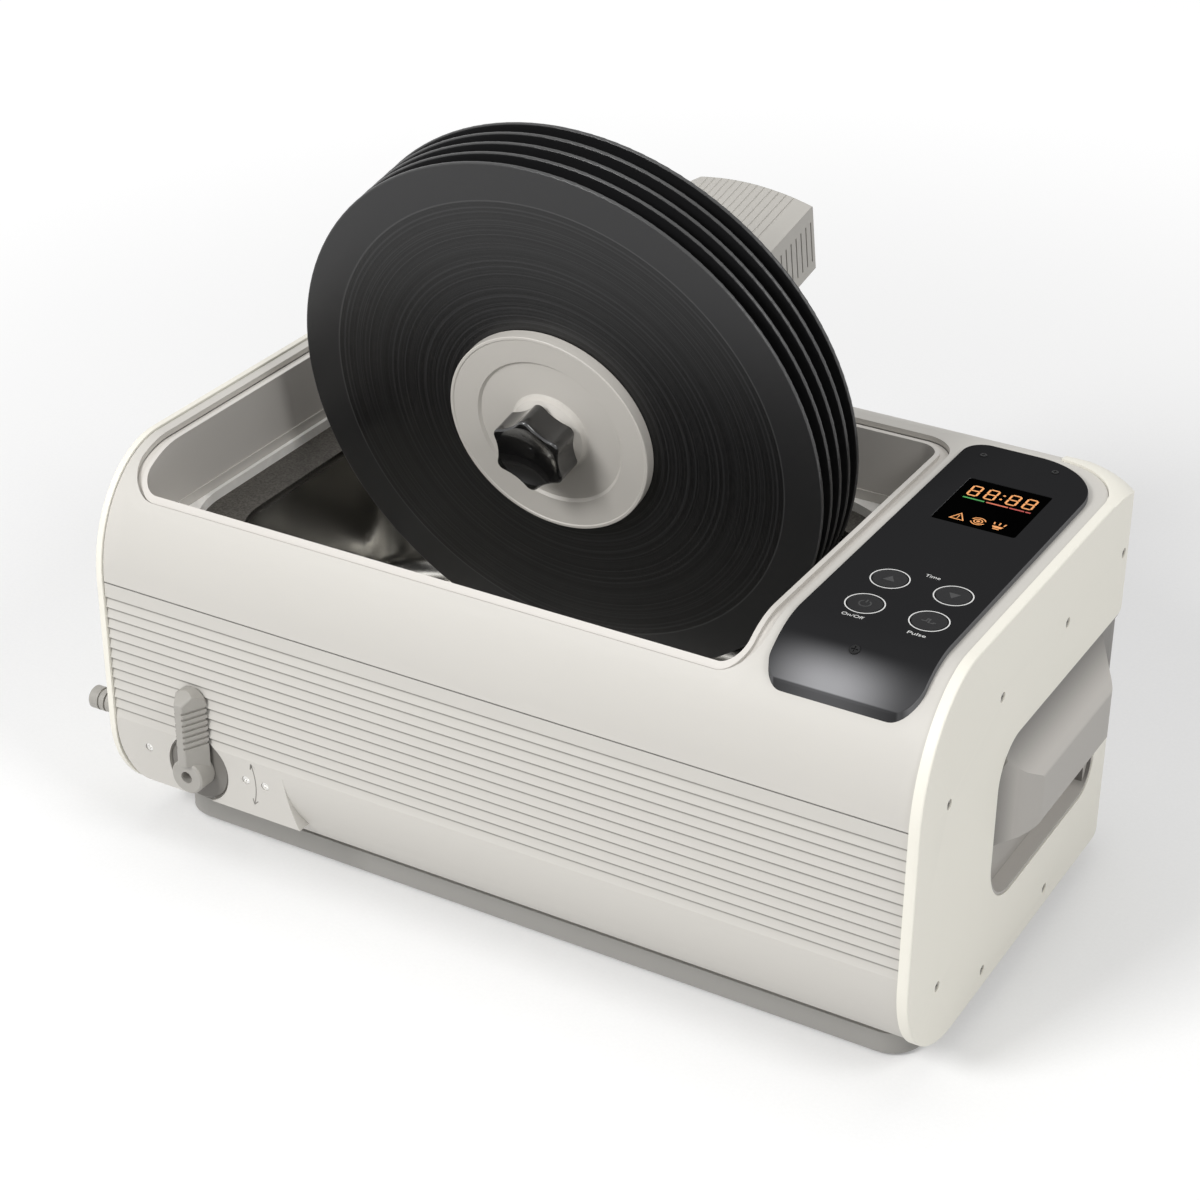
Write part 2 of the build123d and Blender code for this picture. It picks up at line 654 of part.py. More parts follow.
drain_top = tank_floor_z + 1.0
with BuildPart() as drain_fitting:
    with BuildSketch(Plane.XZ.offset(-drain_y)):
        with BuildLine():
            Polyline((drain_x + drain_bore - 1, drain_top), (drain_x + fitting_radius - 2, drain_top),
                     (drain_x + fitting_radius - 2, tank_floor_z), (drain_x + drain_bore + 1, tank_floor_z),
                     (drain_x + drain_bore + 1, tank_floor_z - tank_sheet),
                     (drain_x + fitting_radius, tank_floor_z - tank_sheet),
                     (drain_x + fitting_radius, tank_floor_z - tank_sheet - 4),
                     (drain_x + 4.4, tank_floor_z - tank_sheet - 4), (drain_x + 4.4, 66.0),
                     (drain_x + 3.2, 66.0), (drain_x + 3.2, drain_top - 1.5), close=True)
        make_face()
    revolve(axis=Axis((drain_x, drain_y, 0), (0, 0, 1)))
save(drain_fitting, "drain_fitting")

stub_end_x = -146.0
hose_radius = 6.4
with BuildPart() as drain_hose:
    with BuildLine() as hose_line:
        FilletPolyline((drain_x, drain_y, 74.0), (drain_x, drain_y, valve_z - 14),
                       (drain_x, valve_axis_y, valve_z - 14), (drain_x - 8, valve_axis_y, valve_z),
                       (stub_end_x - 8, valve_axis_y, valve_z), radius=[12, 9, 6])
    with BuildSketch(Plane.XY.offset(74.0)):
        with Locations((drain_x, drain_y)):
            Circle(hose_radius)
            Circle(4.45, mode=Mode.SUBTRACT)
    sweep(path=hose_line.wires()[0])
save(drain_hose, "drain_hose")

# ==================================================== drain valve and its pipe
valve_plane = Plane.XZ.offset(-valve_axis_y)
valve_centre = (valve_x, valve_axis_y, valve_z)
with BuildPart() as valve_body:
    with BuildSketch(Plane.YZ.offset(valve_x - 22)):
        with Locations((valve_axis_y, valve_z)):
            RegularPolygon(12, 6)
    extrude(amount=44)
    with BuildSketch(Plane.YZ.offset(valve_x - 14)):
        with Locations((valve_axis_y, valve_z)):
            Circle(13)
    extrude(amount=28)
    with BuildSketch(Plane.YZ.offset(valve_x)):
        with Locations((valve_axis_y, valve_z)):
            Circle(4.4)
    extrude(amount=stub_end_x - valve_x)
    with BuildSketch(valve_plane):
        with Locations((valve_x, valve_z)):
            Circle(8)
    extrude(amount=14.3)
    with Locations(valve_centre):
        Sphere(ball_radius + 0.2, mode=Mode.SUBTRACT)
    with BuildSketch(Plane.YZ.offset(valve_x)):
        with Locations((valve_axis_y, valve_z)):
            Circle(valve_bore)
    extrude(amount=45, both=True, mode=Mode.SUBTRACT)
    with BuildSketch(valve_plane):
        with Locations((valve_x, valve_z)):
            Circle(stem_radius + running_gap)
    extrude(amount=20, mode=Mode.SUBTRACT)
save(valve_body, "valve_body")

bezel_depth = 1.8
bezel_back_y = front_y + bezel_recess
with BuildPart() as valve_bezel:
    with BuildSketch(Plane.XZ.offset(-bezel_back_y)):
        with Locations((valve_x, valve_z)):
            Circle(bezel_radius)
    extrude(amount=bezel_depth)
    chamfer(valve_bezel.faces().sort_by(Axis.Y)[0].edges(), 0.8)
    with BuildSketch(Plane.XZ.offset(-bezel_back_y)):
        with Locations((valve_x, valve_z)):
            Circle(stem_radius + slide_gap)
    extrude(amount=bezel_depth, mode=Mode.SUBTRACT)
save(valve_bezel, "valve_bezel")

hub_back_y = bezel_back_y - bezel_depth - slide_gap
lever_back_y = front_y - 0.8
lever_top_z = valve_z + lever_height
lever_rise = lever_back_y - lever_front_y
groove_depth = 0.9
groove_pitch = 3.5
groove_count = 7
groove_low_z = valve_z + 19.5
hub_bevel = 0.9
hub_hole_radius = 3.4
with BuildPart() as drain_lever:
    # A ridge with sloping flanks, round at its top.
    with BuildSketch(Plane.XY.offset(valve_z)):
        with BuildLine():
            Polyline((valve_x - lever_half_width, lever_back_y),
                     (valve_x - lever_ridge_width / 2, lever_front_y),
                     (valve_x + lever_ridge_width / 2, lever_front_y),
                     (valve_x + lever_half_width, lever_back_y), close=True)
        make_face()
    extrude(amount=lever_height)
    with BuildSketch(Plane.XZ.offset(-lever_back_y)):
        with Locations((valve_x, (valve_z - lever_half_width + lever_top_z) / 2)):
            SlotOverall(lever_height + lever_half_width, 2 * lever_half_width, rotation=90)
    extrude(amount=lever_rise + 1, mode=Mode.INTERSECT)
    with BuildSketch(Plane.YZ.offset(valve_x)):
        Polygon((lever_back_y, valve_z), (lever_back_y, lever_top_z),
                (lever_back_y - 5, lever_top_z), (lever_front_y, lever_top_z - lever_nose),
                (lever_front_y, valve_z), align=None)
    extrude(amount=lever_half_width, both=True, mode=Mode.INTERSECT)
    front_edges = drain_lever.edges().filter_by(lambda edge: edge.center().Y < lever_back_y - 6)
    fillet(front_edges, 1.5)
    # Grip grooves across both flanks.
    flank_angle = atan2(lever_half_width - lever_ridge_width / 2, lever_rise)
    for side in (1, -1):
        flank_plane = Plane((valve_x + side * (lever_half_width + lever_ridge_width / 2) / 2,
                             (lever_front_y + lever_back_y) / 2, groove_low_z),
                            x_dir=(0, 0, 1), z_dir=(side * cos(flank_angle), -sin(flank_angle), 0))
        for step in range(groove_count):
            with BuildSketch(flank_plane):
                with Locations((step * groove_pitch, 0)):
                    Rectangle(groove_pitch * 0.42, lever_rise * 1.15)
            extrude(amount=-groove_depth, mode=Mode.SUBTRACT)
    with BuildSketch(Plane.XY.offset(valve_z)):
        with BuildLine():
            Polyline((valve_x, hub_back_y), (valve_x + lever_hub_radius, hub_back_y),
                     (valve_x + lever_hub_radius, lever_hub_front_y + hub_bevel),
                     (valve_x + lever_hub_radius - hub_bevel, lever_hub_front_y),
                     (valve_x, lever_hub_front_y), close=True)
        make_face()
    revolve(axis=Axis((valve_x, 0, valve_z), (0, 1, 0)))
    # The ridge stops at the hub, which holds a deep screw hole.
    with BuildSketch(Plane.XZ.offset(-lever_front_y)):
        with Locations((valve_x, valve_z)):
            Circle(lever_hub_radius - hub_bevel)
    extrude(amount=lever_front_y - lever_hub_front_y, mode=Mode.SUBTRACT)
    with BuildSketch(Plane.XZ.offset(-lever_hub_front_y)):
        with Locations((valve_x, valve_z)):
            Circle(hub_hole_radius)
    extrude(amount=-5, mode=Mode.SUBTRACT)
    # Stem and ball turn with the lever.
    with BuildSketch(Plane.XZ.offset(-hub_back_y)):
        with Locations((valve_x, valve_z)):
            Circle(stem_radius)
    extrude(amount=hub_back_y - valve_axis_y)
    with Locations(valve_centre):
        Sphere(ball_radius)
        Cylinder(valve_bore, 3 * ball_radius, mode=Mode.SUBTRACT)
save(drain_lever, "drain_lever")

pipe_start_x = valve_x - 22.0
collar_radius = 6.4
collar_x = [pipe_tip_x + run for run in (16.6, 11.2, 10.2, 7.4, 6.2)]   # ends of the collars
with BuildPart() as outlet_pipe:
    with BuildSketch(Plane.XZ.offset(-valve_axis_y)):
        with BuildLine():
            Polyline((pipe_start_x, valve_z + valve_bore), (pipe_start_x, valve_z + pipe_radius),
                     (collar_x[0], valve_z + pipe_radius), (collar_x[0], valve_z + collar_radius - 0.3),
                     (collar_x[1], valve_z + collar_radius - 0.3), (collar_x[1], valve_z + pipe_radius),
                     (collar_x[2], valve_z + pipe_radius), (collar_x[2], valve_z + collar_radius - 0.1),
                     (collar_x[3], valve_z + collar_radius - 0.1),
                     (collar_x[3], valve_z + pipe_radius + 0.6),
                     (collar_x[4], valve_z + pipe_radius + 0.6), (collar_x[4], valve_z + collar_radius),
                     (pipe_tip_x + 0.8, valve_z + collar_radius),
                     (pipe_tip_x, valve_z + collar_radius - 0.8),
                     (pipe_tip_x, valve_z + valve_bore), close=True)
        make_face()
    revolve(axis=Axis((0, valve_axis_y, valve_z), (1, 0, 0)))
save(outlet_pipe, "outlet_pipe")

valve_head_y = front_y + valve_screw_sink
with BuildPart() as valve_screws:
    with BuildSketch(Plane.XZ.offset(-valve_head_y)):
        with Locations(*valve_screw_spots):
            Circle(valve_screw_radius)
    extrude(amount=-1.0)
    with BuildSketch(Plane.XZ.offset(-valve_head_y)):
        with Locations(*valve_screw_spots):
            Circle(1.55)
    extrude(amount=-8)
    with BuildSketch(Plane.XZ.offset(-valve_head_y)):
        with Locations(*valve_screw_spots):
            Rectangle(3.0, 0.6)
            Rectangle(0.6, 3.0)
    extrude(amount=-0.5, mode=Mode.SUBTRACT)
save(valve_screws, "valve_screws")

# ============================================== under the tank and electronics
transducer_x = [(tank_left_x + tank_right_x) / 2 + step * transducer_pitch for step in (-1, 0, 1)]
horn_z = tank_floor_z - tank_sheet
for index, centre_x in enumerate(transducer_x, start=1):
    with BuildPart() as transducer:
        with BuildSketch(Plane.XZ.offset(-transducer_y)):
            with BuildLine():
                Polyline((centre_x, horn_z), (centre_x + transducer_radius, horn_z),
                         (centre_x + transducer_radius, horn_z - 4), (centre_x + 16, horn_z - 18),
                         (centre_x + 16, horn_z - 19), (centre_x + 18, horn_z - 19),
                         (centre_x + 18, horn_z - 24), (centre_x + 15, horn_z - 24),
                         (centre_x + 15, horn_z - 25), (centre_x + 18, horn_z - 25),
                         (centre_x + 18, horn_z - 30), (centre_x + 16, horn_z - 30),
                         (centre_x + 16, horn_z - 42), (centre_x + 5, horn_z - 42),
                         (centre_x + 5, horn_z - 46), (centre_x, horn_z - 46), close=True)
            make_face()
        revolve(axis=Axis((centre_x, transducer_y, 0), (0, 0, 1)))
    save(transducer, f"transducer_{index}")

heater_width = 180.0
heater_height = 46.0
heater_thickness = 1.6
with BuildPart() as heater_pads:
    for outer_y, facing in ((tank_front_y - tank_sheet, 1), (tank_rear_y + tank_sheet, -1)):
        with BuildSketch(Plane.XZ.offset(-outer_y)):
            with Locations(((tank_left_x + tank_right_x) / 2, 128)):
                RectangleRounded(heater_width, heater_height, 6)
        extrude(amount=facing * heater_thickness)
save(heater_pads, "heater_pads")

board_width = board_x[1] - board_x[0]
board_length = board_y[1] - board_y[0]
board_mid = ((board_x[0] + board_x[1]) / 2, (board_y[0] + board_y[1]) / 2)
with BuildPart() as driver_board:
    with BuildSketch(Plane.XY.offset(board_z)):
        with Locations(board_mid):
            Rectangle(board_width, board_length)
            with GridLocations(board_width - 10, board_length - 10, 2, 2):
                Circle(1.6, mode=Mode.SUBTRACT)
    extrude(amount=1.6)
    with BuildSketch(Plane.XY.offset(board_z + 1.6)):
        with Locations((board_mid[0], board_y[0] + 30)):
            Rectangle(30, 26)
    extrude(amount=21)
    with BuildSketch(Plane.XY.offset(board_z + 1.6)):
        with Locations((board_mid[0] - 14, board_y[0] + 62), (board_mid[0] + 12, board_y[0] + 62),
                       (board_mid[0] + 12, board_y[0] + 84)):
            Circle(8)
    extrude(amount=20)
    with BuildSketch(Plane.XY.offset(board_z + 1.6)):
        with Locations((board_mid[0], board_y[1] - 32)):
            with GridLocations(7, 0, 6, 1):
                Rectangle(2, 34)
            Rectangle(38, 6)
    extrude(amount=20)
    with BuildSketch(Plane.XY.offset(board_z + 1.6)):
        with Locations((board_mid[0] - 16, board_y[0] + 86)):
            Rectangle(12, 22)
    extrude(amount=9)
save(driver_board, "driver_board")

fan_back_y = rear_y - wall - seat_gap
fan_plane = Plane.XZ.offset(-fan_back_y)
fan_centre = (fan_x, fan_z)
fan_pin_radius = 1.5
fan_blade_count = 7
with BuildPart() as fan_frame:
    with BuildSketch(fan_plane):
        with Locations(fan_centre):
            RectangleRounded(fan_size, fan_size, 4)
            Circle(fan_size / 2 - 2, mode=Mode.SUBTRACT)
            with GridLocations(fan_size - 10, fan_size - 10, 2, 2):
                Circle(2, mode=Mode.SUBTRACT)
    extrude(amount=fan_depth)
    with BuildSketch(fan_plane):
        with Locations(fan_centre):
            Circle(10)
            with PolarLocations(fan_size / 4, 4, start_angle=45):
                Rectangle(fan_size / 2, 3)
    extrude(amount=2.5)
    with BuildSketch(fan_plane.offset(2.5)):
        with Locations(fan_centre):
            Circle(fan_pin_radius)
    extrude(amount=fan_depth - 5)
save(fan_frame, "fan_frame")

with BuildPart() as fan_rotor:
    with BuildSketch(fan_plane.offset(3.2)):
        with Locations(fan_centre):
            Circle(11)
    extrude(amount=fan_depth - 4.5)
    with BuildSketch(fan_plane.offset(3.8)):
        with Locations(fan_centre):
            with PolarLocations(18.5, fan_blade_count):
                Rectangle(17, 2, rotation=28)
    extrude(amount=fan_depth - 6)
    with BuildSketch(fan_plane.offset(3.2)):
        with Locations(fan_centre):
            Circle(fan_pin_radius + running_gap)
    extrude(amount=fan_depth - 5.5, mode=Mode.SUBTRACT)
save(fan_rotor, "fan_rotor")

with BuildPart() as power_inlet:
    with BuildSketch(Plane.XZ.offset(-rear_y)):
        with Locations((inlet_x, inlet_z)):
            RectangleRounded(inlet_width + 22, inlet_height + 8, 5)
    extrude(amount=-2.5)
    with BuildSketch(Plane.XZ.offset(-rear_y)):
        with Locations((inlet_x, inlet_z)):
            Rectangle(inlet_width - 2 * seat_gap, inlet_height - 2 * seat_gap)
    extrude(amount=24)
    with BuildSketch(Plane.XZ.offset(-rear_y - 2.5)):
        with Locations((inlet_x, inlet_z)):
            Rectangle(inlet_width - 4, inlet_height - 4)
            with Locations((-inlet_width / 2 + 2, inlet_height / 2 - 2),
                           (inlet_width / 2 - 2, inlet_height / 2 - 2)):
                Rectangle(8, 8, rotation=45, mode=Mode.SUBTRACT)
    extrude(amount=20, mode=Mode.SUBTRACT)
    with BuildSketch(Plane.XZ.offset(-rear_y + 20)):
        with Locations((inlet_x, inlet_z + 2.2)):
            Rectangle(2, 5)
        with Locations((inlet_x - 7, inlet_z - 2.2), (inlet_x + 7, inlet_z - 2.2)):
            Rectangle(2, 5)
    extrude(amount=-17)
    with BuildSketch(Plane.XZ.offset(-rear_y - 2.5)):
        with Locations((inlet_x - inlet_width / 2 - 6, inlet_z),
                       (inlet_x + inlet_width / 2 + 6, inlet_z)):
            Circle(1.8)
    extrude(amount=3, mode=Mode.SUBTRACT)
save(power_inlet, "power_inlet")

# ============================================================== control panel
panel_top_z = deck_z + panel_thickness
with BuildPart() as panel_cover:
    extrude(body_section(panel_left_x, -panel_thickness), amount=panel_right_x - panel_left_x)
    extrude(body_section(panel_left_x - 1), amount=panel_right_x - panel_left_x + 2,
            mode=Mode.SUBTRACT)
    with BuildSketch(Plane.XY):
        with BuildLine():
            rear_right = panel_right_x - 38
            Line((panel_left_x + 10, panel_front_y), (panel_right_x - 13, panel_front_y))
            CenterArc((panel_right_x - 13, panel_front_y + 13), 13, 270, 90)
            Line((panel_right_x, panel_front_y + 13), (panel_right_x, panel_rear_y - 38))
            CenterArc((rear_right, panel_rear_y - 38), 38, 0, 90)
            Line((rear_right, panel_rear_y), (panel_left_x + 12, panel_rear_y))
            CenterArc((panel_left_x + 12, panel_rear_y - 12), 12, 90, 90)
            Line((panel_left_x, panel_rear_y - 12), (panel_left_x, panel_front_y + 10))
            CenterArc((panel_left_x + 10, panel_front_y + 10), 10, 180, 90)
        make_face()
    extrude(amount=deck_z + 10, mode=Mode.INTERSECT)
    split(bisect_by=Plane.XY.offset(parting_z), keep=Keep.TOP)
    fillet(panel_cover.edges().group_by(Axis.Z)[-1], 0.7)
    extrude(plan_rectangle(window_left_x, window_right_x, window_front_y, window_rear_y, 1.5,
                           deck_z - 1), amount=panel_thickness + 2, mode=Mode.SUBTRACT)
    with BuildSketch(Plane.XY.offset(deck_z - 1)):
        for x in key_x:
            for y in key_y:
                with Locations((x, y)):
                    Circle(key_radius + slide_gap)
    extrude(amount=panel_thickness + 2, mode=Mode.SUBTRACT)
    with BuildSketch(Plane.XY.offset(deck_z)):
        with Locations(*panel_screw_spots):
            Circle(panel_screw_hole)
    extrude(amount=8, both=True, mode=Mode.SUBTRACT)
    with BuildSketch(shoulder_plane):
        Circle(panel_screw_hole)
    extrude(amount=8, both=True, mode=Mode.SUBTRACT)
save(panel_cover, "panel_cover")

with BuildPart() as display_lens:
    extrude(plan_rectangle(window_left_x + seat_gap, window_right_x - seat_gap,
                           window_front_y + seat_gap, window_rear_y - seat_gap, 1.3,
                           deck_z + 0.4), amount=panel_thickness - 0.6)
save(display_lens, "display_lens")

switch_top_z = deck_z - 6.2
with BuildPart() as display_board:
    extrude(plan_rectangle(143.5, 218.6, -86.0, 79.0, 2, display_board_z),
            amount=display_board_thickness)
    with BuildSketch(Plane.XY.offset(display_board_z + display_board_thickness)):
        for x in key_x:
            for y in key_y:
                with Locations((x, y)):
                    Rectangle(6, 6)
    extrude(amount=switch_top_z - display_board_z - display_board_thickness)
    extrude(plan_rectangle(window_left_x - 2, window_right_x + 2, window_front_y - 2,
                           window_rear_y + 2, 1, display_board_z + display_board_thickness),
            amount=deck_z - display_board_z - display_board_thickness - 0.1)
save(display_board, "display_board")

key_names = {(0, 0): "key_time_up", (1, 0): "key_time_down", (0, 1): "key_power",
             (1, 1): "key_pulse"}
for (column, line), name in key_names.items():
    centre = (key_x[column], key_y[line])
    with BuildPart() as key:
        with BuildSketch(Plane.XY.offset(deck_z - 2.0)):
            with Locations(centre):
                Circle(key_flange_radius)
        extrude(amount=2.0 - slide_gap)
        with BuildSketch(Plane.XY.offset(deck_z - 2.0)):
            with Locations(centre):
                Circle(key_radius)
        extrude(amount=2.0 + panel_thickness + key_proud)
        fillet(key.faces().sort_by(Axis.Z)[-1].edges(), key_edge)
        with BuildSketch(Plane.XY.offset(deck_z - 2.0)):
            with Locations(centre):
                Circle(2.0)
        extrude(amount=-(4.2 - key_travel - 0.15))
    save(key, name)



def panel_screw(head_radius):
    """Screw that stands on the origin, with a cross in its head."""
    with BuildPart() as screw:
        Cylinder(head_radius, 0.6, align=(Align.CENTER, Align.CENTER, Align.MIN))
        chamfer(screw.faces().sort_by(Axis.Z)[-1].edges(), 0.25)
        Cylinder(1.5, 3.2, align=(Align.CENTER, Align.CENTER, Align.MAX))
        with BuildSketch(Plane.XY.offset(0.6)):
            Rectangle(1.3 * head_radius, 0.6)
            Rectangle(0.6, 1.3 * head_radius)
        extrude(amount=-0.45, mode=Mode.SUBTRACT)
    return screw.part


with BuildPart() as panel_screws:
    for x, y in panel_screw_spots:
        add(panel_screw(panel_screw_radius).moved(Location((x, y, panel_top_z))))
    add(panel_screw(front_screw_radius).moved(Location(shoulder_plane.offset(0.1))))
save(panel_screws, "panel_screws")

# =================================================================== motor head
arch_radius = 140.0
arch_mid_a = -2.0
arch_top_b = 24.0
arch_left_a = -27.0
cheek_a = -35.0            # bevel at the upper left edge of the head
cheek_b = 16.6
cheek_low_b = 8.0
groove_pitch_a = 4.4
arch_groove_count = 13
slot_pitch = 6.0
slot_count = 7
slot_low_b = -17.0
slot_high_b = 8.4


def arch_b(a):
    """Height of the head's arched top over the spindle, a to its right."""
    return arch_top_b - arch_radius + sqrt(arch_radius ** 2 - (a - arch_mid_a) ** 2)


def head_outline(w, low_b, inset=0.0):
    """Section across the head, drawn in by inset at the sides and the top."""
    half = head_half_width - inset
    with BuildSketch(across_spindle(w)) as outline:
        with BuildLine():
            right = (half, arch_b(head_half_width) - inset)
            left = (arch_left_a + inset / 2, arch_b(arch_left_a) - inset)
            ThreePointArc(right, (arch_mid_a, arch_top_b - inset), left)
            Polyline(left, (cheek_a + inset, cheek_b - inset / 2), (-half, cheek_low_b),
                     (-half, low_b), (half, low_b), right)
        make_face()
    return outline.sketch


head_length = head_rear_w - head_front_w
plate_top_b = head_low_b + head_plate
with BuildPart() as head_cover:
    extrude(head_outline(head_rear_w, plate_top_b), amount=head_length)
    fillet(head_cover.edges().filter_by(GeomType.CIRCLE), 1.5)
    extrude(head_outline(head_rear_w - head_wall, plate_top_b - 1, head_wall),
            amount=head_length - 2 * head_wall, mode=Mode.SUBTRACT)
    with BuildSketch(across_spindle(head_rear_w)):
        for step in range(arch_groove_count):
            groove_a = (step - arch_groove_count // 2) * groove_pitch_a + 4
            with Locations((groove_a, arch_b(groove_a))):
                Circle(0.55)
    extrude(amount=head_length, mode=Mode.SUBTRACT)
    for side in (1, -1):
        with BuildSketch(spindle_side.offset(side * (head_half_width + 1))):
            for step in range(slot_count):
                with Locations((head_rear_w - 3.6 - step * slot_pitch,
                                (slot_low_b + slot_high_b) / 2)):
                    Rectangle(1.2, slot_high_b - slot_low_b)
        extrude(amount=-side * (head_wall + 2), mode=Mode.SUBTRACT)
    with BuildSketch(across_spindle(head_front_w + head_wall + 1)):
        Circle(shaft_radius + 2.5)
    extrude(amount=head_wall + 2, mode=Mode.SUBTRACT)
save(head_cover, "head_cover")

with BuildPart() as head_base:
    with BuildSketch(across_spindle(head_rear_w)):
        with Locations((0, head_low_b + head_plate / 2)):
            Rectangle(2 * head_half_width, head_plate)
    extrude(amount=head_length)
    chamfer(head_base.faces().sort_by(Axis.Z)[0].edges(), 0.8)
save(head_base, "head_base")

block_front_w = bearing_w[0] - 1.5
block_rear_w = bearing_w[1] + bearing_width + 1.5
with BuildPart() as bearing_block:
    with BuildSketch(across_spindle(block_rear_w)):
        with Locations((0, plate_top_b + 2)):
            Rectangle(40, 4)
    extrude(amount=block_rear_w - block_front_w)
    for ring_w in bearing_w:
        with BuildSketch(across_spindle(ring_w + bearing_width + 1.5)):
            with Locations((0, plate_top_b + 10)):
                Rectangle(24, 20)
            Circle(12)
        extrude(amount=bearing_width + 3)
        with BuildSketch(across_spindle(ring_w + bearing_width)):
            Circle(bearing_radius)
        extrude(amount=bearing_width, mode=Mode.SUBTRACT)
        with BuildSketch(across_spindle(ring_w + bearing_width + 2)):
            Circle(bearing_radius - 1.5)
        extrude(amount=bearing_width + 4, mode=Mode.SUBTRACT)
save(bearing_block, "bearing_block")

with BuildPart() as bearings:
    for ring_w in bearing_w:
        with BuildSketch(across_spindle(ring_w + bearing_width)):
            Circle(bearing_radius)
            Circle(shaft_radius + running_gap, mode=Mode.SUBTRACT)
        extrude(amount=bearing_width)
save(bearings, "bearings")

# ------------------------------------------------------------ gears and motor
gear_distance = gear_module * (spindle_teeth + pinion_teeth) / 2
gear_front_w = bearing_w[1] + bearing_width + bearing_to_gear
gear_rear_w = gear_front_w + gear_width
pinion_shaft_radius = 2.0
mount_front_w = gear_rear_w + 4.0
motor_front_w = mount_front_w + 4.0
motor_length = head_rear_w - head_wall - motor_to_wall - motor_front_w


def gear_outline(centre_a, teeth, first_angle):
    """Face of a spur gear across the spindle."""
    pitch_radius = gear_module * teeth / 2
    root_radius = pitch_radius - 1.25 * gear_module
    tip_radius = pitch_radius + 0.95 * gear_module
    tooth_pitch = pi * gear_module
    with BuildSketch(across_spindle(gear_rear_w)) as outline:
        with Locations((centre_a, 0)):
            Circle(root_radius)
            with PolarLocations(0, teeth, start_angle=first_angle):
                Polygon((root_radius - 0.4, -0.33 * tooth_pitch),
                        (pitch_radius, -0.215 * tooth_pitch), (tip_radius, -0.1 * tooth_pitch),
                        (tip_radius, 0.1 * tooth_pitch), (pitch_radius, 0.215 * tooth_pitch),
                        (root_radius - 0.4, 0.33 * tooth_pitch), align=None)
    return outline.sketch


with BuildPart() as spindle_gear:
    extrude(gear_outline(0, spindle_teeth, 0), amount=gear_width)
    with BuildSketch(across_spindle(gear_front_w)):
        Circle(8)
    extrude(amount=4)
    with BuildSketch(across_spindle(gear_rear_w)):
        Circle(shaft_radius)
    extrude(amount=gear_width + 6, mode=Mode.SUBTRACT)
save(spindle_gear, "spindle_gear")

with BuildPart() as motor_pinion:
    extrude(gear_outline(gear_distance, pinion_teeth, 180 / pinion_teeth), amount=gear_width)
    with BuildSketch(across_spindle(motor_front_w + 8)):
        with Locations((gear_distance, 0)):
            Circle(pinion_shaft_radius)
    extrude(amount=motor_front_w + 8 - gear_front_w + 1)
save(motor_pinion, "motor_pinion")

with BuildPart() as motor_mount:
    with BuildSketch(across_spindle(motor_front_w)):
        with Locations((gear_distance, (plate_top_b + motor_radius) / 2)):
            Rectangle(2 * motor_radius + 2, motor_radius - plate_top_b)
        with Locations((gear_distance, 0)):
            Circle(5, mode=Mode.SUBTRACT)
    extrude(amount=motor_front_w - mount_front_w)
    with BuildSketch(across_spindle(motor_front_w + 12)):
        with Locations((gear_distance, plate_top_b + 1.5)):
            Rectangle(2 * motor_radius + 2, 3)
    extrude(amount=12 + motor_front_w - mount_front_w)
save(motor_mount, "motor_mount")

with BuildPart() as gear_motor:
    with BuildSketch(across_spindle(motor_front_w + motor_length)):
        with Locations((gear_distance, 0)):
            Circle(motor_radius)
    extrude(amount=motor_length)
    chamfer(gear_motor.edges().filter_by(GeomType.CIRCLE), 1.0)
    with BuildSketch(across_spindle(motor_front_w)):
        with Locations((gear_distance, 0)):
            Circle(5)
    extrude(amount=motor_front_w - mount_front_w)
    with BuildSketch(across_spindle(motor_front_w + 9)):
        with Locations((gear_distance, 0)):
            Circle(pinion_shaft_radius + running_gap)
    extrude(amount=9 + motor_front_w - mount_front_w, mode=Mode.SUBTRACT)
save(gear_motor, "gear_motor")

# ----------------------------------------------------- pedestal under the head
pedestal_front_y = well_rear_y + lid_ledge + 0.8
pedestal_rear_y = rear_y + 5.5
pedestal_half_width = 32.5
pedestal_low_z = 165.0
pedestal_screw_x = (spindle_x - 18, spindle_x + 18)
pedestal_screw_z = 178.0


def under_head_z(y):
    """Height of the head's underside over a line across the body at y."""
    w = (y - spindle_y + head_low_b * sin(lean)) / cos(lean)
    return spindle_z + w * sin(lean) + head_low_b * cos(lean)


with BuildPart() as head_pedestal:
    with BuildSketch(Plane.YZ.offset(spindle_x)):
        Polygon((pedestal_front_y, deck_z - 20), (pedestal_front_y, under_head_z(pedestal_front_y)),
                (pedestal_rear_y, under_head_z(pedestal_rear_y)),
                (pedestal_rear_y, pedestal_low_z), (rear_y - 5, pedestal_low_z), align=None)
    extrude(amount=pedestal_half_width, both=True)
    fillet(head_pedestal.edges().filter_by(Axis.Z).group_by(Axis.Y)[-1], 4)
    extrude(body_section(), amount=seam_x, both=True, mode=Mode.SUBTRACT)
save(head_pedestal, "head_pedestal")

with BuildPart() as pedestal_screws:
    with BuildSketch(Plane.XZ.offset(-pedestal_rear_y)):
        for x in pedestal_screw_x:
            with Locations((x, pedestal_screw_z)):
                Circle(4)
    extrude(amount=-2.2)
    chamfer(pedestal_screws.faces().sort_by(Axis.Y)[-2:].edges(), 0.6)
    with BuildSketch(Plane.XZ.offset(-pedestal_rear_y - 2.2)):
        for x in pedestal_screw_x:
            with Locations((x, pedestal_screw_z)):
                RegularPolygon(2.2, 6)
    extrude(amount=1.4, mode=Mode.SUBTRACT)
save(pedestal_screws, "pedestal_screws")

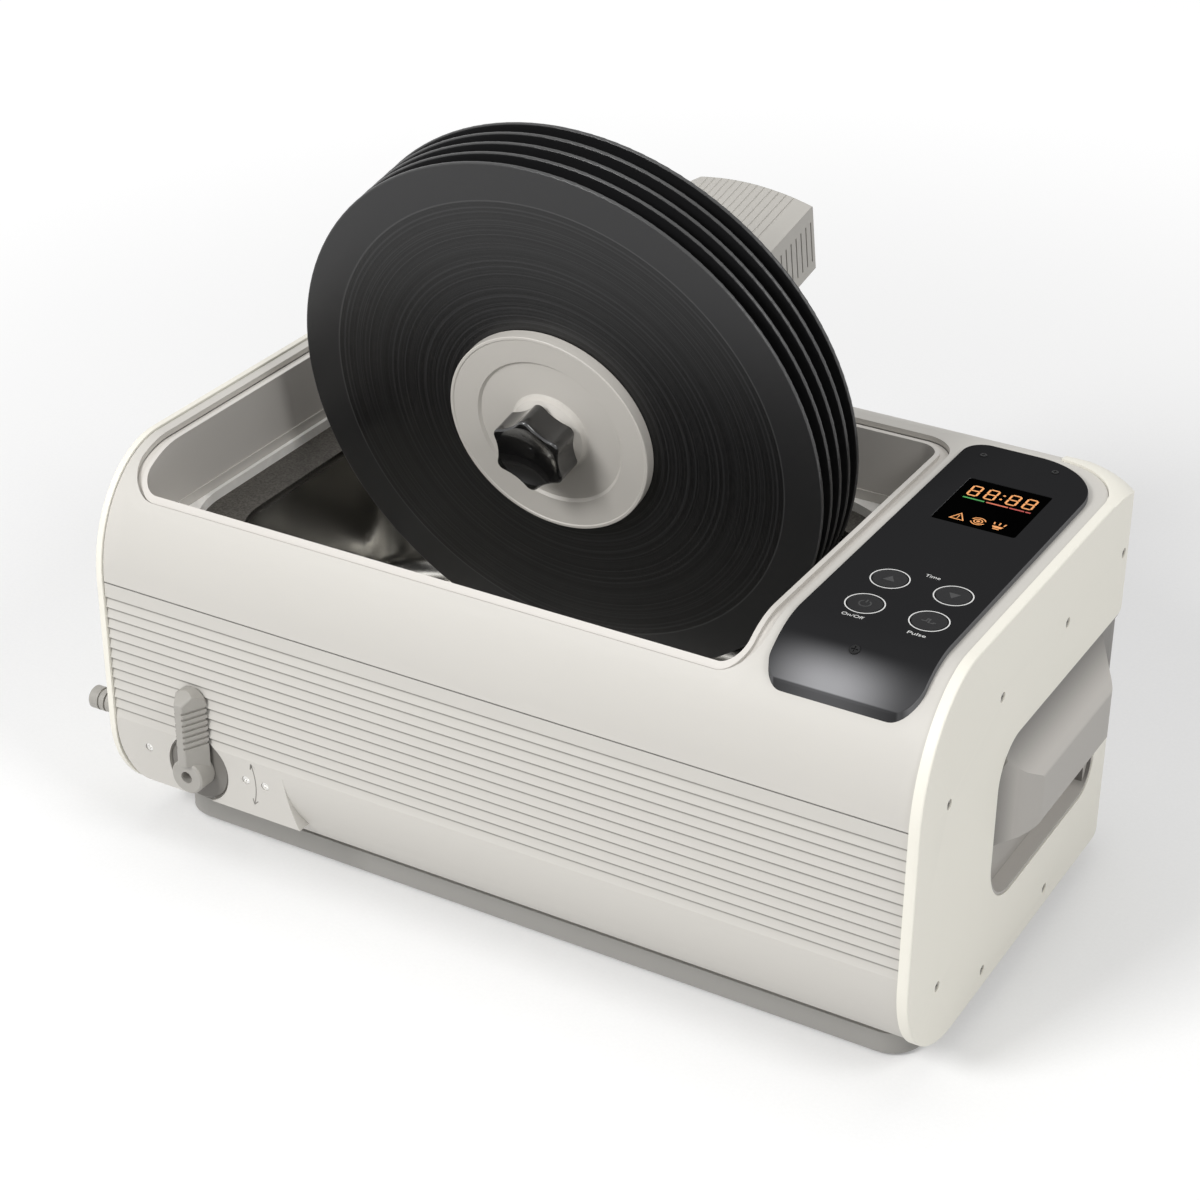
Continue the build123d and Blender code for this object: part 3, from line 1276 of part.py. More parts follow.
# ====================================================== spindle and its records
shaft_front_w = knob_front_w + knob_dish_depth + 1.4
with BuildPart() as spindle_shaft:
    with BuildSketch(across_spindle(gear_rear_w + 1.5)):
        Circle(shaft_radius)
    extrude(amount=gear_rear_w + 1.5 - shaft_front_w)
    chamfer(spindle_shaft.edges().filter_by(GeomType.CIRCLE), 0.5)
save(spindle_shaft, "spindle_shaft")

last_back_w = (record_count - 1) * record_pitch + record_thickness
with BuildPart() as inner_flange:
    with BuildSketch(spindle_side):
        with BuildLine():
            Polyline((last_back_w, shaft_radius), (last_back_w, label_radius + 4),
                     (last_back_w + 3, label_radius + 4), (last_back_w + 4.5, 24),
                     (last_back_w + 5.5, 11), (last_back_w + 16, 11),
                     (last_back_w + 16, shaft_radius), close=True)
        make_face()
    revolve(axis=spindle_axis)
save(inner_flange, "inner_flange")

with BuildPart() as record_spacers:
    for gap in range(record_count - 1):
        with BuildSketch(across_spindle((gap + 1) * record_pitch)):
            Circle(label_radius)
            Circle(shaft_radius, mode=Mode.SUBTRACT)
        extrude(amount=record_pitch - record_thickness)
save(record_spacers, "record_spacers")

for index in range(record_count):
    with BuildPart() as record:
        with BuildSketch(across_spindle(index * record_pitch + record_thickness)):
            Circle(record_radius)
            Circle(record_bore_radius, mode=Mode.SUBTRACT)
        extrude(amount=record_thickness)
        fillet(record.edges().filter_by(GeomType.CIRCLE).group_by(SortBy.RADIUS)[-1], 0.7)
    save(record, f"record_{index + 1}")

clamp_back_w = -0.05
clamp_front_w = -7.0
with BuildPart() as clamp_disc:
    with BuildSketch(spindle_side):
        with BuildLine():
            Polyline((clamp_back_w, shaft_radius + running_gap), (clamp_back_w, clamp_radius - 0.4),
                     (-0.6, clamp_radius), (clamp_front_w + 0.3, clamp_radius),
                     (clamp_front_w, clamp_radius - 0.3), (clamp_front_w, clamp_radius - 1.5),
                     (clamp_front_w + 0.5, clamp_radius - 2.1), (-5.4, 42.2), (-4.0, 40.8),
                     (-4.0, 22.4), (-4.6, 21.6), (-6.8, 20.4), (-9.2, 17.0),
                     (knob_back_w + 0.05, 16.2), (knob_back_w + 0.05, shaft_radius + running_gap),
                     close=True)
        make_face()
    revolve(axis=spindle_axis)
save(clamp_disc, "clamp_disc")

lobe_tip_radius = 4.2      # rounding of the six tips
waist_radius = 17.6        # of the knob halfway between two tips
tip_pitch = 360 / knob_lobes
with BuildPart() as star_knob:
    with BuildSketch(across_spindle(knob_back_w)) as knob_outline:
        with BuildLine():
            for lobe in range(knob_lobes):
                first, middle, last = (radians(30 + (lobe + part) * tip_pitch) for part in (0, 0.5, 1))
                ThreePointArc((knob_tip_reach * cos(first), knob_tip_reach * sin(first)),
                              (waist_radius * cos(middle), waist_radius * sin(middle)),
                              (knob_tip_reach * cos(last), knob_tip_reach * sin(last)))
        make_face()
        fillet(knob_outline.vertices(), lobe_tip_radius)
    extrude(amount=knob_back_w - knob_front_w)
    fillet(star_knob.faces().sort_by(Axis.Y)[0].edges(), 1.4)
    # The front is a shallow dish around the end cap of the thread.
    with BuildSketch(spindle_side):
        with BuildLine():
            Line((knob_front_w - 1, 0), (knob_front_w - 1, knob_dish_radius))
            Line((knob_front_w - 1, knob_dish_radius), (knob_front_w, knob_dish_radius))
            ThreePointArc((knob_front_w, knob_dish_radius),
                          (knob_front_w + knob_dish_depth * 0.75, knob_dish_radius / 2),
                          (knob_front_w + knob_dish_depth, 0))
            Line((knob_front_w + knob_dish_depth, 0), (knob_front_w - 1, 0))
        make_face()
    revolve(axis=spindle_axis, mode=Mode.SUBTRACT)
    with BuildSketch(across_spindle(knob_back_w)):
        Circle(shaft_radius + running_gap)
    extrude(amount=knob_back_w - shaft_front_w + 0.3, mode=Mode.SUBTRACT)
    with BuildSketch(across_spindle(knob_front_w + knob_dish_depth + 0.4)):
        Circle(3.0)
    extrude(amount=0.9)
save(star_knob, "star_knob")
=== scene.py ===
import math

import bmesh
import bpy
from mathutils import Matrix, Vector


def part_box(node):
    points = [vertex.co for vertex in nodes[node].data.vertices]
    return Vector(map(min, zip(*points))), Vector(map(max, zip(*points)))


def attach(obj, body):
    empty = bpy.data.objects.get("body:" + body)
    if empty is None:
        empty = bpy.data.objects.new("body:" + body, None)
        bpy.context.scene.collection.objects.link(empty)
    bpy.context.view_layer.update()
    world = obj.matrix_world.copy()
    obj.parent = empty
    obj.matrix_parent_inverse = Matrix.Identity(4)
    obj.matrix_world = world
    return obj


# Looks of the bench-top record cleaner: finishes for its moulded, pressed and
# turned parts, the printed and lit marks on its panel, and a plain studio.
# Finishes and the studio are in metres; MM turns the drawing's millimetres into
# them. Printed and lit marks are drawn in millimetres.
MM = 0.001

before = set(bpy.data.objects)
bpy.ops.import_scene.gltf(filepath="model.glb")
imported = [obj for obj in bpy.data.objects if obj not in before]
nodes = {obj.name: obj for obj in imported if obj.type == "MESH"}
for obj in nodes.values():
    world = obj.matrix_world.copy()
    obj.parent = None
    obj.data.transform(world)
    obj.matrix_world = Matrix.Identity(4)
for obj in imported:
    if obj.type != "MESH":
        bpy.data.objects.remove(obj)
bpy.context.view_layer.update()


# ------------------------------------------------------------- shader helpers
WHITE = (1.0, 1.0, 1.0, 1.0)
UNLIT = (0.0, 0.0, 0.0, 1.0)
# Pointiness of a flat face and of a clearly raised edge.
FLAT_POINTINESS = 0.5
EDGE_POINTINESS = 0.56


def tint(red, green, blue):
    """Colour written as screen values from 0 to 255, as the shader wants it."""
    def linear(value):
        share = value / 255
        return share / 12.92 if share <= 0.04045 else ((share + 0.055) / 1.055) ** 2.4
    return (linear(red), linear(green), linear(blue), 1.0)


def toned(colour, share, lift=0.0):
    """The same colour darker or paler by a share and a lift."""
    return tuple(part * share + lift for part in colour[:3]) + (1.0,)


class Wire:
    """A number that varies over a surface; sums on it add Math nodes."""

    def __init__(self, web, socket):
        self.web = web
        self.socket = socket

    def __add__(self, other):
        return self.web.maths("ADD", self, other)

    __radd__ = __add__

    def __sub__(self, other):
        return self.web.maths("SUBTRACT", self, other)

    def __rsub__(self, other):
        return self.web.maths("SUBTRACT", other, self)

    def __mul__(self, other):
        return self.web.maths("MULTIPLY", self, other)

    __rmul__ = __mul__

    def __truediv__(self, other):
        return self.web.maths("DIVIDE", self, other)

    def __rtruediv__(self, other):
        return self.web.maths("DIVIDE", other, self)

    def __lt__(self, other):
        return self.web.maths("LESS_THAN", self, other)

    def __gt__(self, other):
        return self.web.maths("GREATER_THAN", self, other)


class Web:
    """The nodes of a material or of the world, put together one by one."""

    def __init__(self, owner, output_kind):
        owner.use_nodes = True
        self.tree = owner.node_tree
        self.tree.nodes.clear()
        self.output = self.tree.nodes.new(output_kind)

    def node(self, kind, settings=None, inputs=None, output=0):
        """Add a node: its type, its settings, then the values or links of its sockets."""
        made = self.tree.nodes.new(kind)
        for key, value in (settings or {}).items():
            setattr(made, key, value)
        for key, value in (inputs or {}).items():
            if isinstance(value, Wire):
                self.tree.links.new(value.socket, made.inputs[key])
            else:
                made.inputs[key].default_value = value
        return Wire(self, made.outputs[output])

    def maths(self, operation, *values):
        """Math node of one or two values."""
        return self.node("ShaderNodeMath", {"operation": operation}, dict(enumerate(values)))

    def vectors(self, operation, *values, output="Vector"):
        """Vector Math node of one or two vectors."""
        return self.node("ShaderNodeVectorMath", {"operation": operation},
                         dict(enumerate(values)), output)

    def close(self, shader):
        """Send a shader to the output."""
        self.tree.links.new(shader.socket, self.output.inputs["Surface"])

    def seen_white(self):
        """1 for what the camera, a mirror or a glass sees, 0 for light that falls on things."""
        rays = ("Is Camera Ray", "Is Glossy Ray", "Is Transmission Ray")
        camera, glossy, through = [self.node("ShaderNodeLightPath", output=ray) for ray in rays]
        return camera + glossy + through


class Finish(Web):
    """One material."""

    def __init__(self, name):
        self.material = bpy.data.materials.new(name)
        super().__init__(self.material, "ShaderNodeOutputMaterial")

    def place(self):
        """Where a point lies in the object's own frame, in metres."""
        return self.node("ShaderNodeTexCoord", output="Object")

    def coordinate(self, axis):
        """Where a point lies along one axis."""
        return self.node("ShaderNodeSeparateXYZ", None, {0: self.place()}, axis)

    def facing(self, axis):
        """How far the surface faces along an axis, from -1 to 1."""
        normal = self.node("ShaderNodeNewGeometry", output="Normal")
        return self.node("ShaderNodeSeparateXYZ", None, {0: normal}, axis)

    def noise(self, scale, detail=3.0, roughness=0.5):
        """Cloudy noise from 0 to 1; a larger scale is finer."""
        inputs = {"Vector": self.place(), "Scale": scale, "Detail": detail,
                  "Roughness": roughness}
        return self.node("ShaderNodeTexNoise", None, inputs)

    def noise_along(self, value, scale, detail, roughness):
        """Noise that changes with one value alone."""
        inputs = {"W": value, "Scale": scale, "Detail": detail, "Roughness": roughness}
        return self.node("ShaderNodeTexNoise", {"noise_dimensions": "1D"}, inputs)

    def fade(self, value, low, high, to_low=0.0, to_high=1.0):
        """Smooth change of value, from to_low at low to to_high at high."""
        inputs = {0: value, 1: low, 2: high, 3: to_low, 4: to_high}
        return self.node("ShaderNodeMapRange", {"interpolation_type": "SMOOTHSTEP"}, inputs)

    def mix(self, share, first, second):
        """Two colours mixed: first where share is 0, second where it is 1."""
        inputs = {0: share, 6: first, 7: second}
        return self.node("ShaderNodeMix", {"data_type": "RGBA"}, inputs, 2)

    def bump(self, height, distance, strength=1.0):
        """Normal of a surface that a height raises by up to distance."""
        inputs = {"Height": height, "Distance": distance, "Strength": strength}
        return self.node("ShaderNodeBump", None, inputs)

    def raised_edges(self):
        """1 along raised edges, 0 on flat faces and in hollows."""
        point = self.node("ShaderNodeNewGeometry", output="Pointiness")
        return self.fade(point, FLAT_POINTINESS, EDGE_POINTINESS)

    def surface(self, **sockets):
        """Close the material with a Principled shader."""
        inputs = {key.replace("_", " "): value for key, value in sockets.items()}
        self.close(self.node("ShaderNodeBsdfPrincipled", None, inputs))
        return self.material


# ------------------------------------------------------------------- finishes
FLOW_SHADE = 0.015
RUBBED_SHARE = 0.6
SPARK_GRAIN = 0.02 * MM
GRIP_GRAIN = 0.04 * MM
GLOSS_GRAIN = 0.01 * MM
MIRROR_GRAIN = 0.002 * MM


def moulded(name, colour, roughness, grain=SPARK_GRAIN, coat=0.0, specular=0.5, marks=None):
    """Moulded plastic with a fine spark-eroded grain and faint flow marks.

    marks takes the finish and its colour; it gives a share and the two colours to mix by it, to
    paint shade or sheen.
    """
    finish = Finish(name)
    cloud = finish.noise(scale=9.0, detail=2.0)
    grit = finish.noise(scale=900.0, detail=2.0, roughness=0.6)
    flow = finish.mix(cloud, toned(colour, 1 - 2 * FLOW_SHADE), colour)
    base = finish.mix(finish.raised_edges() * RUBBED_SHARE, flow, toned(colour, 1 + FLOW_SHADE))
    if marks:
        base = finish.mix(*marks(finish, base))
    rough = roughness + (cloud - 0.5) * 0.08 + (grit - 0.5) * 0.06
    return finish.surface(Base_Color=base, Roughness=rough, Specular_IOR_Level=specular,
                          Coat_Weight=coat, Coat_Roughness=0.06,
                          Normal=finish.bump(grit, grain))


# The housing: its parting line and the row of ledges down its front.
PARTING_Z = 157.0 * MM
PARTING_HALF_WIDTH = 0.45 * MM
LEDGE_TOP_Z = 148.5 * MM
LEDGE_PITCH = 6.06 * MM
LEDGE_COUNT = 12
PAD_TOP_Z = LEDGE_TOP_Z - LEDGE_COUNT * LEDGE_PITCH
FRONT_SKIN_Y = -136.0 * MM
# Shares of a ledge's pitch, down from its top: deep painted shade ends, all painted shade ends.
DEEP_SHADE_END = 0.2
SHADE_END = 0.34
SHADE_STRENGTH = 0.8


def undercut_shade(finish, base):
    """Painted shade under each ledge and in the parting line."""
    y, z = finish.coordinate("Y"), finish.coordinate("Z")
    rows = finish.maths("FRACT", (LEDGE_TOP_Z - z) / LEDGE_PITCH)
    under = finish.fade(rows, DEEP_SHADE_END, SHADE_END, 1.0, 0.0)
    ledges = under * (z < LEDGE_TOP_Z) * (z > PAD_TOP_Z) * (y < FRONT_SKIN_Y)
    seam_shade = finish.maths("ABSOLUTE", z - PARTING_Z) < PARTING_HALF_WIDTH
    return (ledges + seam_shade) * SHADE_STRENGTH, base, tint(128, 126, 121)


# The panel's turned-down front lip, and where its painted sheen rises and falls.
LIP_START_Y = -104.0 * MM
LIP_END_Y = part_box("panel_cover")[0].y
LIP_FULL_Y = LIP_END_Y + 3.0 * MM
LIP_EDGE_Y = LIP_END_Y + 0.6 * MM
LIP_FACE_Y = LIP_END_Y + 1.2 * MM
SHEEN_START_X = 132.0 * MM
SHEEN_FULL_X = 172.0 * MM
SHEEN_FALL_X = 176.0 * MM
SHEEN_END_X = 214.0 * MM


def lip_sheen(finish, base):
    """Painted sheen along the panel's turned-down front lip, and a painted highlight along its
    right edge.
    """
    x, y = finish.coordinate("X"), finish.coordinate("Y")
    rise = finish.fade(y, LIP_START_Y, LIP_FULL_Y) * finish.fade(x, SHEEN_START_X, SHEEN_FULL_X)
    fall = finish.fade(x, SHEEN_FALL_X, SHEEN_END_X, 1.0, 0.15)
    end = finish.fade(y, LIP_EDGE_Y, LIP_FACE_Y, 0.25, 1.0)
    # Painted highlight on the faces turned to the right.
    edge = finish.fade(finish.facing("X"), 0.35, 0.8, 0.0, 0.5)
    return finish.maths("MAXIMUM", rise * fall * end, edge), base, tint(150, 150, 152)


# Where shade is painted on the grips: their backs, where they stand clear of the caps, and their
# undersides.
GRIP_BACK_X = 227.5 * MM
GRIP_CLEAR_X = 241.0 * MM
GRIP_UNDER_Z = 90.0 * MM
GRIP_OVER_Z = 98.0 * MM


def grip_shade(finish, base):
    """Painted shade behind the grips, under them and on the faces turned to the front."""
    z = finish.coordinate("Z")
    reach = finish.maths("ABSOLUTE", finish.coordinate("X"))
    behind = (finish.fade(reach, GRIP_BACK_X, GRIP_CLEAR_X, 0.75, 0.0)
              * finish.fade(z, GRIP_UNDER_Z, GRIP_OVER_Z))
    front = finish.fade(finish.facing("Y"), -0.95, -0.2, 0.85, 0.0)
    under = finish.fade(finish.facing("Z"), 0.1, 0.6, 0.3, 0.0)
    deepest = finish.maths("MAXIMUM", behind, finish.maths("MAXIMUM", front, under))
    return deepest, base, tint(84, 82, 79)


TANK_RIM_BLEND = 3.0 * MM


def pressed_steel(name, polished, grained, rim_z):
    """Deep-drawn steel: polished and softly waved inside, grained above rim_z."""
    finish = Finish(name)
    rim = finish.fade(finish.coordinate("Z"), rim_z - TANK_RIM_BLEND, rim_z)
    grit = finish.noise(scale=900.0, roughness=0.7)
    cloud = finish.noise(scale=14.0)
    wave = finish.noise(scale=11.0, detail=1.0, roughness=0.4)
    flange = finish.mix(finish.fade(grit, 0.35, 0.65), toned(grained, 0.55), grained)
    rough = 0.24 + (cloud - 0.5) * 0.1 + rim * 0.26
    return finish.surface(Base_Color=finish.mix(rim, polished, flange), Metallic=1.0,
                          Roughness=rough,
                          Normal=finish.bump(wave, distance=12.0 * MM, strength=0.5))


def turned(name, colour, roughness):
    """Machined or plated metal with fine tool marks."""
    finish = Finish(name)
    marks = finish.noise(scale=1600.0, detail=2.0)
    cloud = finish.noise(scale=60.0, detail=2.0)
    return finish.surface(Base_Color=finish.mix(cloud, toned(colour, 0.8), colour), Metallic=1.0,
                          Roughness=roughness + (cloud - 0.5) * 0.2,
                          Normal=finish.bump(marks, distance=0.01 * MM))


def rubber(name, colour, roughness=0.75):
    """Soft rubber with a dusty bloom."""
    finish = Finish(name)
    bloom = finish.noise(scale=35.0, detail=4.0, roughness=0.6)
    pores = finish.noise(scale=2200.0, detail=1.0)
    dusty = toned(colour, 1.3, lift=0.01)
    return finish.surface(Base_Color=finish.mix(finish.fade(bloom, 0.45, 0.8), colour, dusty),
                          Roughness=roughness + (bloom - 0.5) * 0.15,
                          Normal=finish.bump(pores, distance=0.02 * MM))


def lit(name, colour, strength):
    """A lit mark of the display, a little uneven."""
    finish = Finish(name)
    glow = finish.noise(scale=700.0, detail=1.0)
    shown = finish.mix(finish.fade(glow, 0.3, 0.6), toned(colour, 0.75), colour)
    return finish.surface(Base_Color=UNLIT, Roughness=0.4, Emission_Color=shown,
                          Emission_Strength=strength)


def ink(name, colour):
    """Screen-printed ink, very slightly uneven."""
    finish = Finish(name)
    speck = finish.noise(scale=2600.0, detail=2.0)
    thin = toned(colour, 0.8)
    return finish.surface(Base_Color=finish.mix(finish.fade(speck, 0.55, 0.75), colour, thin),
                          Roughness=0.45 + (speck - 0.5) * 0.2,
                          Normal=finish.bump(speck, distance=0.004 * MM))


# The spindle: where it meets the front record's face, and the way it points.
LEAN = math.radians(11.29)
SPINDLE_FOOT = Vector((-37.5, -8.0, 238.0)) * MM
SPINDLE_WAY = Vector((0.0, math.cos(LEAN), math.sin(LEAN)))
# A record's radii, in millimetres, each with the width of its soft edge inwards.
LABEL_RADIUS = 50.0
LABEL_BLEND = 0.4
GROOVE_RADIUS = 130.0
GROOVE_BLEND = 0.6
RIM_RADIUS = 150.4
RECORD_RIM_BLEND = 0.8
# The painted highlight round the outermost groove: begins, is full, fades, ends.
LINE_BEGIN = GROOVE_RADIUS - 0.4
LINE_FULL = GROOVE_RADIUS + 0.1
LINE_FADE = GROOVE_RADIUS + 0.2
LINE_END = GROOVE_RADIUS + 0.8


def vinyl():
    """Pressed record: a plain lead-in band, groove bands with painted reflection, painted
    highlights round the outermost groove and the rim, and a paper label.
    """
    finish = Finish("groove_vinyl")
    reach = finish.vectors("SUBTRACT", finish.place(), SPINDLE_FOOT)
    along = finish.vectors("PROJECT", reach, SPINDLE_WAY)
    across = finish.vectors("SUBTRACT", reach, along)
    radius = finish.vectors("LENGTH", across, output="Value") * (1 / MM)
    # Groove pitch varies with the loudness of the music, so the bands are uneven.
    ring = finish.noise_along(radius, scale=0.55, detail=5.0, roughness=0.75)
    hair = finish.noise_along(radius, scale=2.6, detail=2.0, roughness=0.6)
    inside = finish.fade(radius, GROOVE_RADIUS - GROOVE_BLEND, GROOVE_RADIUS, 1.0, 0.0)
    outside_label = finish.fade(radius, LABEL_RADIUS - LABEL_BLEND, LABEL_RADIUS)
    grooved = inside * outside_label
    rim = finish.fade(radius, RIM_RADIUS - RECORD_RIM_BLEND, RIM_RADIUS)
    # Painted highlight round the outermost groove.
    line_rise = finish.fade(radius, LINE_BEGIN, LINE_FULL)
    line_fall = finish.fade(radius, LINE_FADE, LINE_END, 1.0, 0.0)
    # Groove bands: the bump is real relief; their pale rings are painted reflection.
    bands = finish.mix(finish.fade(ring, 0.45, 0.75), tint(7, 7, 8), tint(46, 46, 47))
    base = finish.mix(grooved, tint(30, 30, 31), bands)
    base = finish.mix(line_rise * line_fall * 0.35, base, tint(86, 86, 86))
    # Painted highlight along the record's rim.
    base = finish.mix(rim * 0.5, base, tint(70, 70, 70))
    base = finish.mix(1.0 - outside_label, base, tint(116, 52, 44))
    height = grooved * (ring * 0.5 + hair * 0.5)
    rough = 0.36 + grooved * (hair - 0.5) * 0.2 + (1.0 - outside_label) * 0.3
    return finish.surface(Base_Color=base, Roughness=rough, Specular_IOR_Level=0.5,
                          Normal=finish.bump(height, distance=0.2 * MM, strength=0.5))


def board():
    """Green circuit board with copper tracks under its mask."""
    finish = Finish("solder_mask")
    lane = finish.node("ShaderNodeTexWave", {"wave_type": "BANDS", "bands_direction": "X"},
                       {"Scale": 60.0, "Distortion": 6.0, "Detail": 2.0, "Vector": finish.place()},
                       "Fac")
    track = finish.fade(lane, 0.72, 0.8)
    base = finish.mix(track, tint(24, 82, 46), tint(52, 120, 70))
    return finish.surface(Base_Color=base, Roughness=0.35,
                          Normal=finish.bump(track, distance=0.04 * MM))


def black_glass():
    """Tinted window over the display."""
    finish = Finish("display_glass")
    smear = finish.noise(scale=40.0)
    base = finish.mix(smear, tint(1, 1, 1), tint(4, 4, 4))
    return finish.surface(Base_Color=base, Roughness=0.3 + (smear - 0.5) * 0.1,
                          Specular_IOR_Level=0.0)


TANK_RIM_Z = 173.5 * MM
HOUSING = moulded("housing_plastic", tint(203, 200, 194), 0.5, specular=0.3,
                  marks=undercut_shade)
CAP = moulded("cap_plastic", tint(238, 235, 224), 0.45, specular=0.3)
GRIP = moulded("grip_plastic", tint(200, 196, 190), 0.5, grain=GRIP_GRAIN, marks=grip_shade)
TRAY = moulded("tray_plastic", tint(158, 156, 152), 0.55)
WELL = moulded("well_plastic", tint(208, 204, 198), 0.5)
PANEL = moulded("panel_plastic", tint(39, 39, 40), 0.4, grain=GLOSS_GRAIN, specular=0.0,
                marks=lip_sheen)
KEYS = moulded("key_plastic", tint(38, 38, 39), 0.4, grain=GLOSS_GRAIN, specular=0.05)
SCREW_BLACK = moulded("blackened_screw", tint(16, 16, 17), 0.4, specular=0.2)
HEAD = moulded("head_plastic", tint(186, 183, 177), 0.5, specular=0.3)
CLAMP = moulded("clamp_plastic", tint(204, 200, 193), 0.45, specular=0.4)
LEVER = moulded("lever_plastic", tint(164, 161, 155), 0.45)
BEZEL = moulded("bezel_plastic", tint(118, 115, 110), 0.5)
BLACK = moulded("black_plastic", tint(28, 28, 29), 0.5)
KNOB = moulded("knob_plastic", tint(8, 8, 9), 0.25, grain=MIRROR_GRAIN, coat=1.0)
VINYL = vinyl()
GLASS = black_glass()
GASKET = rubber("gasket_rubber", tint(240, 238, 233), 0.6)
MAT = rubber("mat_rubber", tint(38, 38, 38))
HOSE = rubber("hose_rubber", tint(120, 120, 118), 0.5)
HEATER = rubber("heater_silicone", tint(150, 72, 42), 0.6)
TANK = pressed_steel("tank_steel", tint(178, 176, 171), tint(118, 115, 110), TANK_RIM_Z)
STEEL = turned("screw_steel", tint(188, 186, 182), 0.35)
BRIGHT = turned("bright_screw", tint(244, 243, 240), 0.3)
MOTOR = turned("motor_steel", tint(176, 174, 172), 0.3)
ALUMINIUM = turned("turned_aluminium", tint(205, 205, 207), 0.32)
BRASS = turned("machined_brass", tint(198, 164, 92), 0.28)
BOARD = board()
PALE_INK = ink("pale_ink", tint(222, 222, 220))
DARK_INK = ink("dark_ink", tint(24, 24, 25))
# Painted shade of the valve arrow's engraved groove, made with the ink finish; not print.
ENGRAVING_SHADE = ink("engraving_shade", tint(128, 125, 119))
AMBER = lit("amber_segment", tint(255, 168, 84), 0.95)
GREEN = lit("green_segment", tint(24, 160, 52), 0.9)
ORANGE = lit("orange_segment", tint(226, 104, 62), 0.9)
RED = lit("red_segment", tint(186, 42, 26), 0.9)

KEY_NAMES = ("key_time_up", "key_time_down", "key_power", "key_pulse")
NODE_FINISH = {
    "base_tray": TRAY, "rubber_mat": MAT, "lower_shell": HOUSING, "upper_housing": HOUSING,
    "end_cap_left": CAP, "end_cap_right": CAP, "handle_left": GRIP, "handle_right": GRIP,
    "cap_screws": STEEL, "well_liner": WELL, "tank_gasket": GASKET, "tank": TANK,
    "drain_fitting": STEEL, "drain_hose": HOSE, "valve_body": BRASS, "valve_bezel": BEZEL,
    "drain_lever": LEVER, "outlet_pipe": LEVER, "valve_screws": BRIGHT, "heater_pads": HEATER,
    "driver_board": BOARD, "fan_frame": BLACK, "fan_rotor": BLACK, "power_inlet": BLACK,
    "panel_cover": PANEL, "display_lens": GLASS, "display_board": BOARD,
    "panel_screws": SCREW_BLACK, "head_cover": HEAD, "head_base": HEAD,
    "bearing_block": ALUMINIUM, "bearings": STEEL, "spindle_gear": BLACK, "motor_pinion": BRASS,
    "motor_mount": STEEL, "gear_motor": MOTOR, "head_pedestal": HEAD, "pedestal_screws": STEEL,
    "spindle_shaft": STEEL, "inner_flange": CLAMP, "record_spacers": BLACK, "clamp_disc": CLAMP,
    "star_knob": KNOB,
    **dict.fromkeys(KEY_NAMES, KEYS),
    **{f"transducer_{number}": ALUMINIUM for number in (1, 2, 3)},
    **{f"record_{number}": VINYL for number in (1, 2, 3, 4, 5)},
}
for name, finish in NODE_FINISH.items():
    node = nodes[name]
    node.data.materials.clear()
    node.data.materials.append(finish)


# --------------------------------------------------- printed and lit markings, and painted engraving shade
PRINT_HEIGHT = 0.05
ARC_STEPS = 32
# The type's own units: the depth it is given, and how high a capital stands.
TYPE_DEPTH = 0.02
CAPITAL_HEIGHT = 0.73
PANEL_TOP = Matrix.Translation((0, 0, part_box("panel_cover")[1].z))
KEY_TOP = Matrix.Translation((0, 0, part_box("key_power")[1].z))
LENS_TOP = Matrix.Translation((0, 0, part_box("display_lens")[1].z))

# Keys: the printed ring round each, and the marks on them from their middles.
KEY_RING_OUTER = 9.6
KEY_RING_INNER = 9.0
MARK_LINE = 0.8
ARROW_HALF_WIDTH = 3.0
ARROW_TAIL = 2.0
ARROW_TIP = 3.0
POWER_RADIUS = 2.8
POWER_GAP = 60
POWER_BAR = (0.8, 3.8)
PULSE_PATH = ((-3.6, -0.8), (-1.2, -0.8), (-1.2, 1.6), (0.0, 1.6), (0.0, -1.6), (2.4, -1.6),
              (2.4, -0.8), (3.6, -0.8))

# Display: digits, the colon between them, the bars under them, the symbols.
DIGIT_MIDDLES = (165.6, 174.4, 186.0, 194.6)
DIGIT_ROW_Y = 59.2
DIGIT_WIDTH = 4.9
DIGIT_HEIGHT = 10.4
SEGMENT_WIDTH = 1.05
SEGMENT_GAP = 0.12
COLON_DOTS = ((180.3, 61.4), (180.0, 57.0))
COLON_RADIUS = 0.75
BAR_ROW_Y = 50.6
BAR_HEIGHT = 1.1
WARNING_X = 169.4
WARNING_BASE_Y = 26.5
TURNING_MIDDLE = (179.7, 29.8)
HEATER_MIDDLE = (190.1, 29.6)

# The arrow engraved round the drain lever's axis, its angles in degrees; the shade in its groove
# is painted.
LEVER_X = -176.2
LEVER_Z = 60.4
ARROW_RADIUS = 37.0
ARROW_LINE = 0.6
ARROW_START = -16
ARROW_END = 21
ARROW_OVERSHOOT = 0.4
BARB_BACK = 3.0
BARB_OUT = 1.7
ENGRAVING_SHADE_HEIGHT = 0.04


def plate(name, outlines, base, finish, body, height=PRINT_HEIGHT):
    """Thin flat piece: outlines in millimetres on the base plane, inner ones as holes."""
    curve = bpy.data.curves.new(name, "CURVE")
    curve.dimensions = "2D"
    curve.fill_mode = "BOTH"
    curve.extrude = height * MM / 2
    for outline in outlines:
        spline = curve.splines.new("POLY")
        spline.points.add(len(outline) - 1)
        for point, (x, y) in zip(spline.points, outline):
            point.co = (x * MM, y * MM, 0.0, 1.0)
        spline.use_cyclic_u = True
    raised = base @ Matrix.Translation((0, 0, height * MM / 2))
    flat_mesh(name, curve, raised, finish, body)


